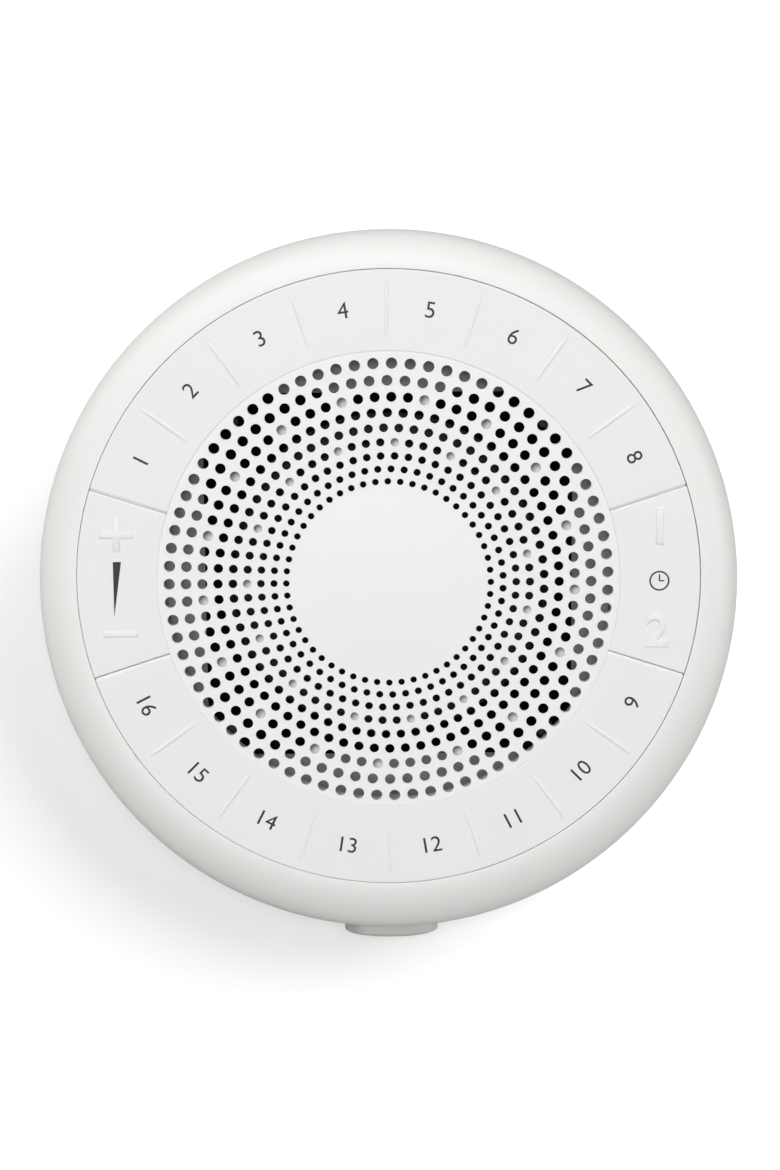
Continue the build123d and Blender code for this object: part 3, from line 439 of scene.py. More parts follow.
class Shape:
    """Points and faces in mm, gathered before they become one mesh."""

    def __init__(self):
        self.points = []
        self.faces = []
        self.second_finish_faces = []  # numbers of the faces that take a second finish

    def add(self, points, faces, matrix=None):
        start = len(self.points)
        self.points += [matrix @ Vector(p) if matrix else Vector(p) for p in points]
        self.faces += [[start + i for i in face] for face in faces]
        return self

    def grid(self, rows, closed_rows=False, closed_columns=False, matrix=None):
        """Faces between rows of points. closed_columns joins the last column to the first."""
        wide, tall = len(rows[0]), len(rows)
        faces = []
        for a in range(tall if closed_rows else tall - 1):
            row, next_row = a * wide, (a + 1) % tall * wide
            for b in range(wide if closed_columns else wide - 1):
                c = (b + 1) % wide
                faces.append((row + b, row + c, next_row + c, next_row + b))
        return self.add([p for line in rows for p in line], faces, matrix)

    def loft(self, outlines, matrix=None):
        """Closed outlines joined one to the next, with a flat cap at each end."""
        count = len(outlines[0])
        first = len(self.points)
        last = first + count * (len(outlines) - 1)
        self.grid(outlines, False, True, matrix)
        self.faces += [[first + k for k in range(count)], [last + k for k in reversed(range(count))]]
        return self

    def lathe(self, outline, steps=48, matrix=None, ends="joined"):
        """Outline of (radius, height) turned about Z, with its ends joined, capped or open."""
        rows = [[(x, y, z) for x, y in circle(r, steps)] for r, z in outline]
        if ends == "capped":
            return self.loft(rows, matrix)
        return self.grid(rows, ends == "joined", True, matrix)

    def boss(self, matrix, radius, bore, foot, top, bore_top, steps=24):
        """Round post from foot to top, with a screw's bore in its foot."""
        return self.lathe([(bore, foot), (radius, foot), (radius, top), (bore, bore_top)], steps, matrix)

    def box(self, low, high, matrix=None):
        points = [(x, y, z) for z in (low[2], high[2]) for y in (low[1], high[1]) for x in (low[0], high[0])]
        faces = [(0, 2, 3, 1), (4, 5, 7, 6), (0, 1, 5, 4), (2, 6, 7, 3), (0, 4, 6, 2), (1, 3, 7, 5)]
        return self.add(points, faces, matrix)

    def piece(self, name, frame_matrix, slot, body=None, replaces=(), sharp=32.0, material=None, other_finish=None):
        """The finished object, with its finish, its body and the nodes it stands for."""
        mesh = bpy.data.meshes.new(name)
        mesh.from_pydata([frame_matrix @ p for p in self.points], [], self.faces)
        for number in self.second_finish_faces:
            mesh.polygons[number].material_index = 1
        welded = bmesh.new()
        welded.from_mesh(mesh)
        bmesh.ops.remove_doubles(welded, verts=welded.verts, dist=1e-7)
        bmesh.ops.recalc_face_normals(welded, faces=welded.faces)
        welded.to_mesh(mesh)
        welded.free()
        shade(mesh, sharp)
        obj = placed(name, mesh)
        mesh.materials.append(material or finishes[slot])
        if other_finish:
            mesh.materials.append(other_finish)
        if body:
            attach(obj, body)
        if replaces:
            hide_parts(*replaces)
        return obj


def arc(centre, radius, start, end, steps):
    """Points of an arc in a section, angles in degrees."""
    return [
        (centre[0] + radius * cos(radians(start + (end - start) * k / steps)),
         centre[1] + radius * sin(radians(start + (end - start) * k / steps)))
        for k in range(steps + 1)
    ]


def circle(radius, steps, x=0.0, y=0.0):
    turns = [2 * pi * k / steps for k in range(steps)]
    return [(x + radius * cos(turn), y + radius * sin(turn)) for turn in turns]


def cut(obj, *cutters):
    """Takes the cutters' solids out of a piece."""
    for cutter in cutters:
        change = obj.modifiers.new("cut", "BOOLEAN")
        change.operation = "DIFFERENCE"
        change.solver = "EXACT"
        change.object = cutter
    fresh = worked_out(obj)
    obj.modifiers.clear()
    old = obj.data
    obj.data = fresh
    bpy.data.meshes.remove(old)
    for cutter in cutters:
        bpy.data.objects.remove(cutter)
    shade(fresh)


# ---------------- housing
RIM_R = 7.0  # of the roll where it leaves the wall
RIM_FULL = 0.66  # how far the section swells into the corner, 0.7 being a round arc
RIM_FULLER = 0.2  # more of it at the back, less at the front
RIM_FLAT = 0.35  # face left beside the opening before the rim rolls over
LIP_SOFT = 0.06  # radius of the opening's upper edge
SEAM_SHIFT = 0.04  # the keys sit this far off the opening's middle, to the back left
FOOT_EDGE = ((0.0, 0.35), (0.1, 0.1), (0.35, 0.0))  # height above the foot, and inset
HOUSING_COLUMNS = 320
CARRIER_BOSS_TOP = -6.9
CARRIER_BOSS_CIRCLE_R = 65.5
SWITCH_POST_X = 15.5
INLET_R = 5.75
BUTTON_SLOT_GAP = 0.3  # round the button


def rolled_rim(inset, steps, angle):
    """Section points at one angle where the rim rolls from the drafted wall to just outside the opening."""
    toward = Vector((cos(angle), sin(angle), 0))
    wall_normal = toward * cos(DRAFT) + Vector((0, 0, sin(DRAFT)))
    face_normal = Vector((0, -sin(TILT), cos(TILT)))
    middle = Vector((0, FACE_Y, FACE_Z))
    base_r = HOUSING_R - inset
    height = (middle.dot(face_normal) - inset + base_r * sin(angle) * sin(TILT)) / (
        tan(DRAFT) * sin(angle) * sin(TILT) + cos(TILT)
    )
    corner = toward * (base_r - height * tan(DRAFT)) + Vector((0, 0, height))
    half_turn = wall_normal.angle(face_normal) / 2
    along_wall = (RIM_R - inset) * tan(half_turn)
    inward = middle - inset * face_normal - corner
    on_wall = corner - (Vector((0, 0, 1)) - toward * tan(DRAFT)) * along_wall
    on_face = corner + inward.normalized() * (inward.length - OPENING_R - RIM_FLAT - inset / 2)
    fullness = RIM_FULL + RIM_FULLER * sin(angle)
    section = []
    for k in range(steps + 1):
        t = k / steps
        weights = ((1 - t) ** 2, 2 * t * (1 - t) * fullness, t * t)
        section.append((on_wall * weights[0] + corner * weights[1] + on_face * weights[2]) / sum(weights))
    return section


def wall_point(toward, z, inset):
    """A point of the drafted wall, inset from its outside."""
    return toward * (HOUSING_R - inset - z * tan(DRAFT)) + Vector((0, 0, z))


def face_to_housing(radius, angle, depth):
    """A point of the face frame, in the housing's frame."""
    x, y = radius * cos(angle), radius * sin(angle)
    return Vector((x, FACE_Y + y * cos(TILT) - depth * sin(TILT), FACE_Z + y * sin(TILT) + depth * cos(TILT)))


def housing_section(angle):
    """The shell's section at one angle: up its outside, over the rim to the opening, and down its inside."""
    toward = Vector((cos(angle), sin(angle), 0))
    outer = rolled_rim(0, 20, angle)
    inner = rolled_rim(WALL, 8, angle)
    top = outer[-1] - Vector((0, FACE_Y, FACE_Z))
    turn = atan2(top.y / cos(TILT), top.x)
    edge_r = OPENING_R - SEAM_SHIFT * (1 - cos(turn + pi / 4))
    low, high = FOOT_Z + 1.0, outer[0].z - 0.3
    section = [wall_point(toward, FOOT_Z + rise, inset) for rise, inset in FOOT_EDGE]
    section += [wall_point(toward, low + (high - low) * j / 9, 0) for j in range(10)]
    section += outer
    section += [face_to_housing(edge_r + LIP_SOFT + 0.08, turn, 0)]
    for a in (0, 0.5, 1.0, pi / 2):
        lip_r = edge_r + LIP_SOFT - LIP_SOFT * sin(a)
        section.append(face_to_housing(lip_r, turn, LIP_SOFT * cos(a) - LIP_SOFT))
    section += [face_to_housing(edge_r, turn, -WALL)]
    section += reversed(inner)
    section += [wall_point(toward, FOOT_Z + (inner[0].z - FOOT_Z) * j / 3, WALL) for j in (2, 1, 0)]
    return section


def button_slot():
    """Cutter for the round-ended slot in the front wall."""
    end_r = BUTTON_H / 2 + BUTTON_SLOT_GAP
    end_x = BUTTON_W / 2 + BUTTON_SLOT_GAP - end_r
    outline = arc((end_x, BUTTON_Z), end_r, -90, 90, 16) + arc((-end_x, BUTTON_Z), end_r, 90, 270, 16)
    rows = [[(x, y, z) for x, z in outline] for y in (-HOUSING_R - 3, -HOUSING_R + 8)]
    return Shape().loft(rows).piece("button_slot", HOUSING, "housing_white")


def inlet_bore():
    """Cutter for the round hole in the back wall."""
    across = Matrix.Translation((0, 0, INLET_Z)) @ Matrix.Rotation(-pi / 2, 4, "X")
    inside, outside = 60.0, 80.0
    bore = Shape().lathe([(INLET_R, inside), (INLET_R, outside)], 64, across, "capped")
    return bore.piece("inlet_bore", HOUSING, "housing_white")


def housing():
    """The white shell, with its screw towers, the switch's posts and the carrier's bosses inside."""
    sections = [housing_section(2 * pi * k / HOUSING_COLUMNS) for k in range(HOUSING_COLUMNS)]
    shape = Shape().grid(sections, closed_rows=True, closed_columns=True)
    for turn in CORNERS:
        tower = at_polar(CASE_SCREW_CIRCLE_R, turn)
        shape.boss(tower, radius=4.8, bore=1.52, foot=7.8, top=23.8, bore_top=20.8, steps=32)
    for x in (-SWITCH_POST_X, SWITCH_POST_X):
        wall_y = -sqrt((HOUSING_R - WALL / 2) ** 2 - x * x)
        post = Matrix.Translation((x, 0, BUTTON_Z)) @ Matrix.Rotation(pi / 2, 4, "X")
        shape.boss(post, radius=2.8, bore=PILOT_R, foot=-SWITCH_BOARD_Y, top=-wall_y, bore_top=-wall_y - 4)
    tilted = Matrix.Translation((0, FACE_Y, FACE_Z)) @ Matrix.Rotation(TILT, 4, "X")
    for turn in CORNERS:
        stand = tilted @ at_polar(CARRIER_BOSS_CIRCLE_R, turn)
        shape.boss(stand, radius=3.2, bore=PILOT_R, foot=CARRIER_TOP, top=CARRIER_BOSS_TOP, bore_top=-7.7)
        shape.box((68.4, -1.6, CARRIER_TOP), (70.3, 1.6, CARRIER_BOSS_TOP), tilted @ turned(turn))
    shell = shape.piece("housing_white_shell", HOUSING, "housing_white", "housing", ["housing_shell"])
    cut(shell, button_slot(), inlet_bore())


# ---------------- grille
ROW_PLACES = (52, 55, 58, 62, 65, 68, 71, 72, 75)
FIRST_DIMPLE = {3: 0, 6: 1}
DIMPLE_STEP = 4
WIDER_DIMPLE_STEPS = {3: (3, 9), 6: (5, 7, 13)}
DIMPLE_DEPTH = 0.9  # to the hole's radius
HOLE_SIDES = 24
HOLE_EDGE = 0.07  # radius of a hole's soft edge
HOLE_COLLAR = 0.03  # flat ring kept round it
HOLE_STRAIGHT = 0.3  # depth of the straight part below it
PLATE = 1.6
PLATE_COLUMNS = 300
EDGE_BAND = 0.12  # the plate's flat face ends this far inside its edge
DOME_R = 20.2
DOME_RISE = 0.5
SKIRT_INNER_R = 46.7
LEDGE_TOP = -2.9
LEG_ANGLES = (10, 90, 170, 190, 270, 350)
LEG_CIRCLE_R = 50.6
LEG_TOP = -6.7
LEG_HALF = 2.4
LEG_INNER_R = 46.9


def row_radius(row):
    return 21.15 + 2.56 * row + 0.067 * row * (row - 1)


def hole_radius(row):
    return 0.675 + 0.06 * row


def collar_radius(row):
    return hole_radius(row) + HOLE_EDGE + HOLE_COLLAR


def hole_back(row):
    """Radius at the back of the plate: the holes widen away from the face, as moulded ones do."""
    return min(hole_radius(row) + 0.3, SKIRT_INNER_R - 0.1 - row_radius(row))


def dimple_places(row):
    """Places of a ring that are only dimpled: every fourth one, with a few steps one place wider."""
    dimples = []
    place = FIRST_DIMPLE.get(row, ROW_PLACES[row])
    while place < ROW_PLACES[row]:
        dimples.append(place)
        place += DIMPLE_STEP + (len(dimples) in WIDER_DIMPLE_STEPS[row])
    return dimples


def hole_middle(row, place):
    angle = pi + 2 * pi * place / ROW_PLACES[row]
    return row_radius(row) * cos(angle), row_radius(row) * sin(angle)


def hole_ring(middle, radius, depth):
    return [(x, y, depth) for x, y in circle(radius, HOLE_SIDES, *middle)]


def pierced_disc(shape, depth, edge_r, rings, hole_size, with_dimples):
    """A disc with round gaps for the holes. rings: (radius, rise) of circles kept in it."""
    points, edges = [], []

    def close(outline):
        start = len(points)
        points.extend(outline)
        edges.extend((start + k, start + (k + 1) % len(outline)) for k in range(len(outline)))

    close(circle(edge_r, PLATE_COLUMNS))
    for radius, _ in rings:
        close(circle(radius, 96))
    first = len(points)
    for row, places in enumerate(ROW_PLACES):
        for place in range(places):
            if with_dimples or place not in dimple_places(row):
                close(circle(hole_size(row), HOLE_SIDES, *hole_middle(row, place)))
    flat, _, triangles, origins, _, _ = delaunay_2d_cdt([Vector(p) for p in points], edges, [], 1, 1e-6)
    owner = [(min(o) - first) // HOLE_SIDES if o and min(o) >= first else -1 for o in origins]
    kept = [t for t in triangles if not (owner[t[0]] == owner[t[1]] == owner[t[2]] != -1)]
    rises = {round(radius, 3): rise for radius, rise in rings}
    shape.add([(p.x, p.y, depth + rises.get(round(p.length, 3), 0.0)) for p in flat], kept)


def hole_collar(middle, row):
    """Rings from the plate's face over a hole's soft edge to its wall."""
    radius = hole_radius(row)
    rings = [hole_ring(middle, collar_radius(row), 0)]
    for a in (0, 0.55, 1.1, pi / 2):
        rings.append(hole_ring(middle, radius + HOLE_EDGE * (1 - sin(a)), HOLE_EDGE * (cos(a) - 1)))
    return rings


def pierced_hole(shape, middle, row):
    rings = hole_collar(middle, row)
    rings += [hole_ring(middle, hole_radius(row), -HOLE_STRAIGHT), hole_ring(middle, hole_back(row), -PLATE)]
    shape.grid(rings, False, True)


def blind_dimple(shape, middle, row):
    """A bowl in place of a hole, in its own finish with painted shade."""
    radius = hole_radius(row)
    shape.grid(hole_collar(middle, row), False, True)
    first = len(shape.faces)
    rings = [hole_ring(middle, radius, -HOLE_EDGE)]
    for a in (0, 0.25, 0.5, 0.75, 1.0, 1.25, 1.45):
        rings.append(hole_ring(middle, radius * cos(a), -HOLE_STRAIGHT - DIMPLE_DEPTH * radius * sin(a)))
    shape.grid(rings, False, True)
    bottom = len(shape.points)
    last = bottom - HOLE_SIDES
    shape.points.append(Vector((*middle, -HOLE_STRAIGHT - DIMPLE_DEPTH * radius)))
    shape.faces += [[last + k, last + (k + 1) % HOLE_SIDES, bottom] for k in range(HOLE_SIDES)]
    # these bowl faces take the finish with painted shade
    shape.second_finish_faces += range(first, len(shape.faces))


def grille_leg(shape, angle):
    """Leg inside the ring of keys, down to a screw boss on the carrier."""
    place = turned(angle)
    shape.box((LEG_INNER_R, -LEG_HALF, CARRIER_TOP), (LEG_INNER_R + 1.3, LEG_HALF, LEDGE_FOOT), place)
    shape.box((LEG_INNER_R, -LEG_HALF, CARRIER_TOP), (LEG_CIRCLE_R, LEG_HALF, LEG_TOP), place)
    stand = at_polar(LEG_CIRCLE_R, angle)
    shape.boss(stand, radius=LEG_HALF, bore=PILOT_R, foot=CARRIER_TOP, top=LEG_TOP, bore_top=-7.5)


def grille():
    """The pierced plate with its crowned middle, its skirt and ledge, and six legs."""
    shape = Shape()
    dome = [(0.01 + DOME_R * k / 8, DOME_RISE * (1 - (k / 8) ** 2)) for k in range(9)]
    pierced_disc(shape, 0.0, GRILLE_R - EDGE_BAND, dome, collar_radius, True)
    pierced_disc(shape, -PLATE, SKIRT_INNER_R, [], hole_back, False)
    for row, places in enumerate(ROW_PLACES):
        dimples = dimple_places(row)
        for place in range(places):
            make = blind_dimple if place in dimples else pierced_hole
            make(shape, hole_middle(row, place), row)
    step_r, step_foot = KEY_INNER_R - 0.03, -2.6  # low step that closes the seam round the plate
    ledge_r = GRILLE_R + LEDGE_WIDTH
    edge = [(GRILLE_R - EDGE_BAND, 0), (GRILLE_R - 0.05, 0), (GRILLE_R - 0.015, -0.01), (GRILLE_R, -0.03)]
    edge += [(step_r, -0.035), (step_r, step_foot), (GRILLE_R, step_foot)]
    edge += [(GRILLE_R, LEDGE_TOP), (ledge_r, LEDGE_TOP), (ledge_r, LEDGE_FOOT)]
    edge += [(SKIRT_INNER_R, LEDGE_FOOT), (SKIRT_INNER_R, -PLATE)]
    shape.lathe(edge, PLATE_COLUMNS, ends="open")
    for angle in LEG_ANGLES:
        grille_leg(shape, angle)
    # the dimple bowls take grille plastic with painted shade
    shape.piece("pierced_grille", FACE, "grille_white", "housing", ["grille_plate"], other_finish=dimple_painted_shade)


# ---------------- keys
INNER_SOFT = 0.03  # radii of a key's upper edges
OUTER_SOFT = 0.06
END_SOFT = 0.3
FLANGE_WIDTH = 1.9  # of a key's outer flange, tucked under the rim
FLANGE_THICK = 1.0
FLANGE_WALL = 1.4
HOOK_WALL = 1.0
HOOK_OUTER_R = GRILLE_R + LEDGE_WIDTH + 0.3 + HOOK_WALL  # 0.3 clear of the ledge
HOOK_WIDTH = 1.9
HOOK_THICK = 0.7
HOOK_LIFT = 0.1  # keys rest on the ledge before their flanges meet the rim
STRIP_PLAY = 0.35
ROCKER_PLAY = 0.7
PLUNGER_CIRCLE_R = 56.1
PLUNGER_R = 1.4
PLUNGER_FOOT = -3.1
ROCKER_DOME_ANGLE = 11.3  # degrees from a rocker's middle to each of its plungers
RIDGE_CIRCLE_R = 56.45
RIDGE_SECTION = ((0.5, -0.1), (0.5, 0.0), (0.36, 0.55), (0.15, 0.95))  # shares of width and height
RIDGE_STEPS = 12
ROOT = 0.2  # how far what stands under a key reaches into it
PIVOT_DEPTH = 3.9
LUG_HALF = 1.6
LUG_INNER_R = 53.2
LUG_OUTER_R = 59.6
LUG_BORE_R = 0.92


def key_outline(play):
    """Section of a key, its upper edges softened. play: of its flange below the rim."""
    top = arc((KEY_INNER_R + INNER_SOFT, -INNER_SOFT), INNER_SOFT, 180, 90, 3)
    top += [(KEY_INNER_R + 0.5 + (KEY_OUTER_R - KEY_INNER_R - 1.0) * k / 6, 0.0) for k in range(7)]
    top += arc((KEY_OUTER_R - OUTER_SOFT, -OUTER_SOFT), OUTER_SOFT, 90, 0, 4)
    flange_r, flange_top = KEY_OUTER_R + FLANGE_WIDTH, -WALL - play
    flange_foot, flange_inner_r = flange_top - FLANGE_THICK, KEY_OUTER_R - FLANGE_WALL
    flange = [(KEY_OUTER_R, flange_top), (flange_r, flange_top), (flange_r, flange_foot)]
    flange += [(flange_inner_r, flange_foot), (flange_inner_r, -KEY_THICK)]
    hook_r, hook_top = HOOK_OUTER_R - HOOK_WIDTH, LEDGE_FOOT - play + HOOK_LIFT
    hook_foot, hook_inner_r = hook_top - HOOK_THICK, HOOK_OUTER_R - HOOK_WALL
    hook = [(HOOK_OUTER_R, -KEY_THICK), (HOOK_OUTER_R, hook_foot), (hook_r, hook_foot), (hook_r, hook_top)]
    hook += [(hook_inner_r, hook_top), (hook_inner_r, -KEY_THICK)]
    return top + flange + hook + [(KEY_INNER_R, -KEY_THICK)]


def key_plate(shape, start, span, play):
    """Key between two radial cuts. Its ends lie half a gap off the radius and have soft upper edges."""
    outline = key_outline(play)
    edge_r = END_SOFT
    stations = [0.0, 0.03, 0.09, 0.18, edge_r, 0.6]  # distances from an end
    half_gap = KEY_GAP / 2
    columns = int(span / 1.5)

    def row(offset_start, offset_end, share, drop):
        line = []
        for r, z in outline:
            low = radians(start) + asin(offset_start / r)
            high = radians(start + span) - asin(offset_end / r)
            angle = low + (high - low) * share
            line.append((r * cos(angle), r * sin(angle), z - drop if z > -edge_r + 1e-6 else z))
        return line

    def drop_at(station):
        drop = edge_r - sqrt(max(0.0, edge_r**2 - (edge_r - min(station, edge_r)) ** 2))
        return min(drop, edge_r - 0.002)

    inside = half_gap + stations[-1]
    rows = [row(half_gap + s, half_gap, 0.0, drop_at(s)) for s in stations]
    rows += [row(inside, inside, k / columns, 0.0) for k in range(1, columns)]
    rows += [row(half_gap, half_gap + s, 1.0, drop_at(s)) for s in reversed(stations)]
    shape.loft(rows)


def groove_floor(shape, angle, side):
    """Low step on a strip's end that closes the cut below its soft edges, almost to the next key."""
    y0, y1 = sorted((side * KEY_GAP / 2, -side * (KEY_GAP / 2 - 0.14)))
    low, high = (KEY_INNER_R + 0.15, y0, -KEY_THICK + ROOT), (KEY_OUTER_R - 0.2, y1, -END_SOFT - 0.02)
    shape.box(low, high, turned(angle))


def plungers(shape, angles):
    """Stubs under a key that press its domes."""
    for angle in angles:
        stub = [(PLUNGER_R, PLUNGER_FOOT), (PLUNGER_R, -KEY_THICK + ROOT)]
        shape.lathe(stub, 20, at_polar(PLUNGER_CIRCLE_R, angle), "capped")


def ridge(shape, matrix, length, width, height):
    """Low rounded bar between two places of a strip, dying away at its ends."""
    section = [(-u, v) for u, v in RIDGE_SECTION] + list(reversed(RIDGE_SECTION))
    rows = []
    for k in range(RIDGE_STEPS + 1):
        share = k / RIDGE_STEPS
        x = length * (share - 0.5)
        swell = min(1.0, (1 - abs(2 * share - 1)) * 3)
        rows.append([(x, width * u, height * v * (swell if v > 0 else 1.0)) for u, v in section])
    shape.grid(rows, False, False, matrix)


def sound_keys(name, node, body, start):
    """Strip of eight sound places with a ridge between each two."""
    shape = Shape()
    key_plate(shape, start, STRIP_ARC, STRIP_PLAY)
    groove_floor(shape, start, 1)
    groove_floor(shape, start + STRIP_ARC, -1)
    plungers(shape, [start + ZONE * (k + 0.5) for k in range(ZONES)])
    for k in range(1, ZONES):
        ridge(shape, at_polar(RIDGE_CIRCLE_R, start + ZONE * k), length=11.7, width=0.9, height=0.2)
    shape.piece(name, FACE, "key_white", body, [node])


def rocker_key(name, node, body, middle):
    """Rocker with a plunger near each end and a bored lug for its pin."""
    shape = Shape()
    key_plate(shape, middle - ROCKER_HALF, 2 * ROCKER_HALF, ROCKER_PLAY)
    plungers(shape, (middle - ROCKER_DOME_ANGLE, middle + ROCKER_DOME_ANGLE))
    lug = [(-LUG_HALF, -KEY_THICK + ROOT), (-LUG_HALF, -PIVOT_DEPTH)]
    lug += arc((0, -PIVOT_DEPTH), LUG_HALF, 180, 360, 12)[1:] + [(LUG_HALF, -KEY_THICK + ROOT)]
    for outline in (lug, circle(LUG_BORE_R, 16, 0.0, -PIVOT_DEPTH)):
        rows = [[(r, y, z) for y, z in outline] for r in (LUG_INNER_R, LUG_OUTER_R)]
        shape.grid(rows, False, True, turned(middle))
    shape.piece(name, FACE, "key_white", body, [node])


# ---------------- raised and printed marks
DRAWN_SIZE = 10.0  # figures are drawn at this size, then scaled
NUMBER_HEIGHT = 3.3
NUMBER_CIRCLE_R = 56.8
INK_LOW = 0.002
INK_HIGH = 0.012
MARK_SLOPES = ((0.0, -0.1), (0.0, 0.0), (0.12, 0.14), (0.3, 0.2))  # inset, and height above the key
MARK_LIFT = 0.12
MARK_ROUNDING = 0.16
MARK_SHARP = 50.0  # degrees


def lettering(text, height, matrix, thickness, rounding):
    """Flat figures of one height as points and faces, centred on their place."""
    curve = bpy.data.curves.new("figures", "FONT")
    curve.body = text
    curve.size = DRAWN_SIZE
    curve.align_x = "CENTER"
    curve.align_y = "CENTER"
    curve.extrude = thickness * DRAWN_SIZE / height
    curve.bevel_depth = rounding * DRAWN_SIZE / height
    curve.bevel_resolution = 2
    curve.resolution_u = 10
    obj = placed("figures", curve)
    mesh = worked_out(obj)
    bpy.data.objects.remove(obj)
    xs = [v.co.x for v in mesh.vertices]
    ys = [v.co.y for v in mesh.vertices]
    scale = height / (max(ys) - min(ys))
    middle = Vector(((max(xs) + min(xs)) / 2, (max(ys) + min(ys)) / 2, 0))
    points = [matrix @ ((v.co - middle) * scale) for v in mesh.vertices]
    faces = [list(p.vertices) for p in mesh.polygons]
    bpy.data.meshes.remove(mesh)
    return points, faces


def printed_numbers(name, body, first, first_angle, top_turn):
    """Clockwise numbers on a strip. top_turn leads from a number's angle to the way that its top points."""
    shape = Shape()
    for k in range(ZONES):
        angle = first_angle - ZONE * k
        place = set_down(NUMBER_CIRCLE_R, angle, angle + top_turn, 0.006)
        shape.add(*lettering(str(first + k), NUMBER_HEIGHT, place, thickness=0.004, rounding=0.0))
    shape.piece(name, FACE, "key_white", body, material=ink)


def raised_outline(shape, outline, matrix):
    """Raised flat figure. outline(inset) gives its corners."""
    rings = [[(x, y, z) for x, y in outline(inset)] for inset, z in MARK_SLOPES]
    shape.grid(rings, False, True, matrix)
    end = len(shape.points)
    shape.faces.append(list(range(end - len(rings[0]), end)))


def cross_outline(length, width):
    def corners(inset):
        a, b = length / 2 - inset, width / 2 - inset
        right_and_top = [(a, -b), (a, b), (b, b), (b, a), (-b, a), (-b, b)]
        return right_and_top + [(-x, -y) for x, y in right_and_top]
    return corners


def bar_outline(length, width):
    def corners(inset):
        a, b = length / 2 - inset, width / 2 - inset
        return [(a, -b), (a, b), (-a, b), (-a, -b)]
    return corners


def volume_marks():
    """Raised plus and minus."""
    shape = Shape()
    raised_outline(shape, cross_outline(7.1, 1.5), set_down(57.0, 169.5, 0))
    raised_outline(shape, bar_outline(7.2, 1.4), set_down(56.6, 190.6, 0))
    shape.piece("volume_marks", FACE, "key_white", "volume_key", sharp=MARK_SHARP)


def timer_marks():
    """Raised 1 and 2."""
    shape = Shape()
    for figure, height, radius, angle in (("1", 7.7, 57.1, 11.6), ("2", 7.1, 56.6, -10.6)):
        place = set_down(radius, angle, 0, MARK_LIFT)
        shape.add(*lettering(figure, height, place, thickness=0.0, rounding=MARK_ROUNDING))
    shape.piece("timer_marks", FACE, "key_white", "timer_key", sharp=MARK_SHARP)


def volume_sign():
    """Printed ramp that grows towards the louder end."""
    corners = [(-56.9, -6.8), (-55.2, 4.8), (-56.9, 4.8)]
    points = [(x, y, z) for z in (INK_LOW, INK_HIGH) for x, y in corners]
    shape = Shape().add(points, [(0, 2, 1), (3, 4, 5), (0, 1, 4, 3), (1, 2, 5, 4), (2, 0, 3, 5)])
    shape.piece("volume_sign", FACE, "key_white", "volume_key", material=ink)


def timer_sign():
    """Printed clock: a ring and two hands."""
    place = Matrix.Translation((56.0, 0.0, 0.0))
    inner_r, outer_r, hand_half = 1.75, 2.1, 0.15
    ring = [(inner_r, INK_LOW), (outer_r, INK_LOW), (outer_r, INK_HIGH), (inner_r, INK_HIGH)]
    shape = Shape().lathe(ring, 48, place)
    shape.box((-hand_half, 0.0, INK_LOW), (hand_half, 1.35, INK_HIGH), place)
    shape.box((0.0, -hand_half, INK_LOW), (1.0, hand_half, INK_HIGH), place)
    shape.piece("timer_sign", FACE, "key_white", "timer_key", material=ink)


# ---------------- power button
BUTTON_FRONT = 76.87  # its crowned front, from the housing's axis
BUTTON_CROWN_R = 50.0
BUTTON_EDGE = 0.6  # radius of the front's soft edge
BUTTON_STEM_R = 2.5


def stadium(width, height, inset=0.0, steps=8):
    """Round-ended outline in (x, z), from its right end over the top. Point k is above point -k."""
    radius = height / 2 - inset
    half = width / 2 - height / 2
    quarter = [pi / 2 * k / steps for k in range(steps + 1)]
    upper = [(half + radius * cos(a), radius * sin(a)) for a in quarter]
    upper += [(half - 2 * half * k / steps, radius) for k in range(1, steps)]
    upper += [(-half - radius * sin(a), radius * cos(a)) for a in quarter]
    return upper + [(x, -z) for x, z in reversed(upper[1:-1])]


def button_section(y, spread=0.0):
    """Upright outline of the button at one y, wider and higher by the spread."""
    return [(x, y, BUTTON_Z + z) for x, z in stadium(BUTTON_W + spread, BUTTON_H + spread)]


def crowned_section(inset, back):
    """Outline of the button, inset, at a distance behind its crowned front."""
    middle_y = back + BUTTON_CROWN_R - BUTTON_FRONT
    outline = stadium(BUTTON_W, BUTTON_H, inset)
    return [(x, middle_y - sqrt(BUTTON_CROWN_R**2 - x * x), BUTTON_Z + z) for x, z in outline]


def power_button():
    """Button with a crowned front, a flange behind the wall and a stem that reaches the switch."""
    shape = Shape()
    rings = [button_section(BUTTON_SEAT_Y + 0.2), crowned_section(0.0, 1.4)]
    for a in (0, 0.25, 0.55, 0.85, 1.15, pi / 2):
        rings.append(crowned_section(BUTTON_EDGE * (1 - cos(a)), BUTTON_EDGE * (1 - sin(a))))
    rings += [crowned_section(inset, 0.0) for inset in (2.2, 3.2, 4.2)]
    shape.grid(rings, False, True)
    count = len(rings[0])
    last = len(shape.points) - count
    for k in range(count // 2):
        strip = [k, k + 1, count - k - 1, (count - k) % count]
        shape.faces.append([last + number for number in dict.fromkeys(strip)])
    flange_ys = (BUTTON_SEAT_Y, BUTTON_SEAT_Y + BUTTON_FLANGE_THICK)
    shape.loft([button_section(y, spread=2 * BUTTON_FLANGE) for y in flange_ys])
    lay = Matrix.Translation((0, 0, BUTTON_Z)) @ Matrix.Rotation(pi / 2, 4, "X")
    stem = [(BUTTON_STEM_R, BUTTON_STEM_END), (BUTTON_STEM_R, -BUTTON_SEAT_Y - 0.5)]
    shape.lathe(stem, 32, lay, "capped")
    shape.piece("pressed_button", HOUSING, "button_white", "power_key", ["power_button"])


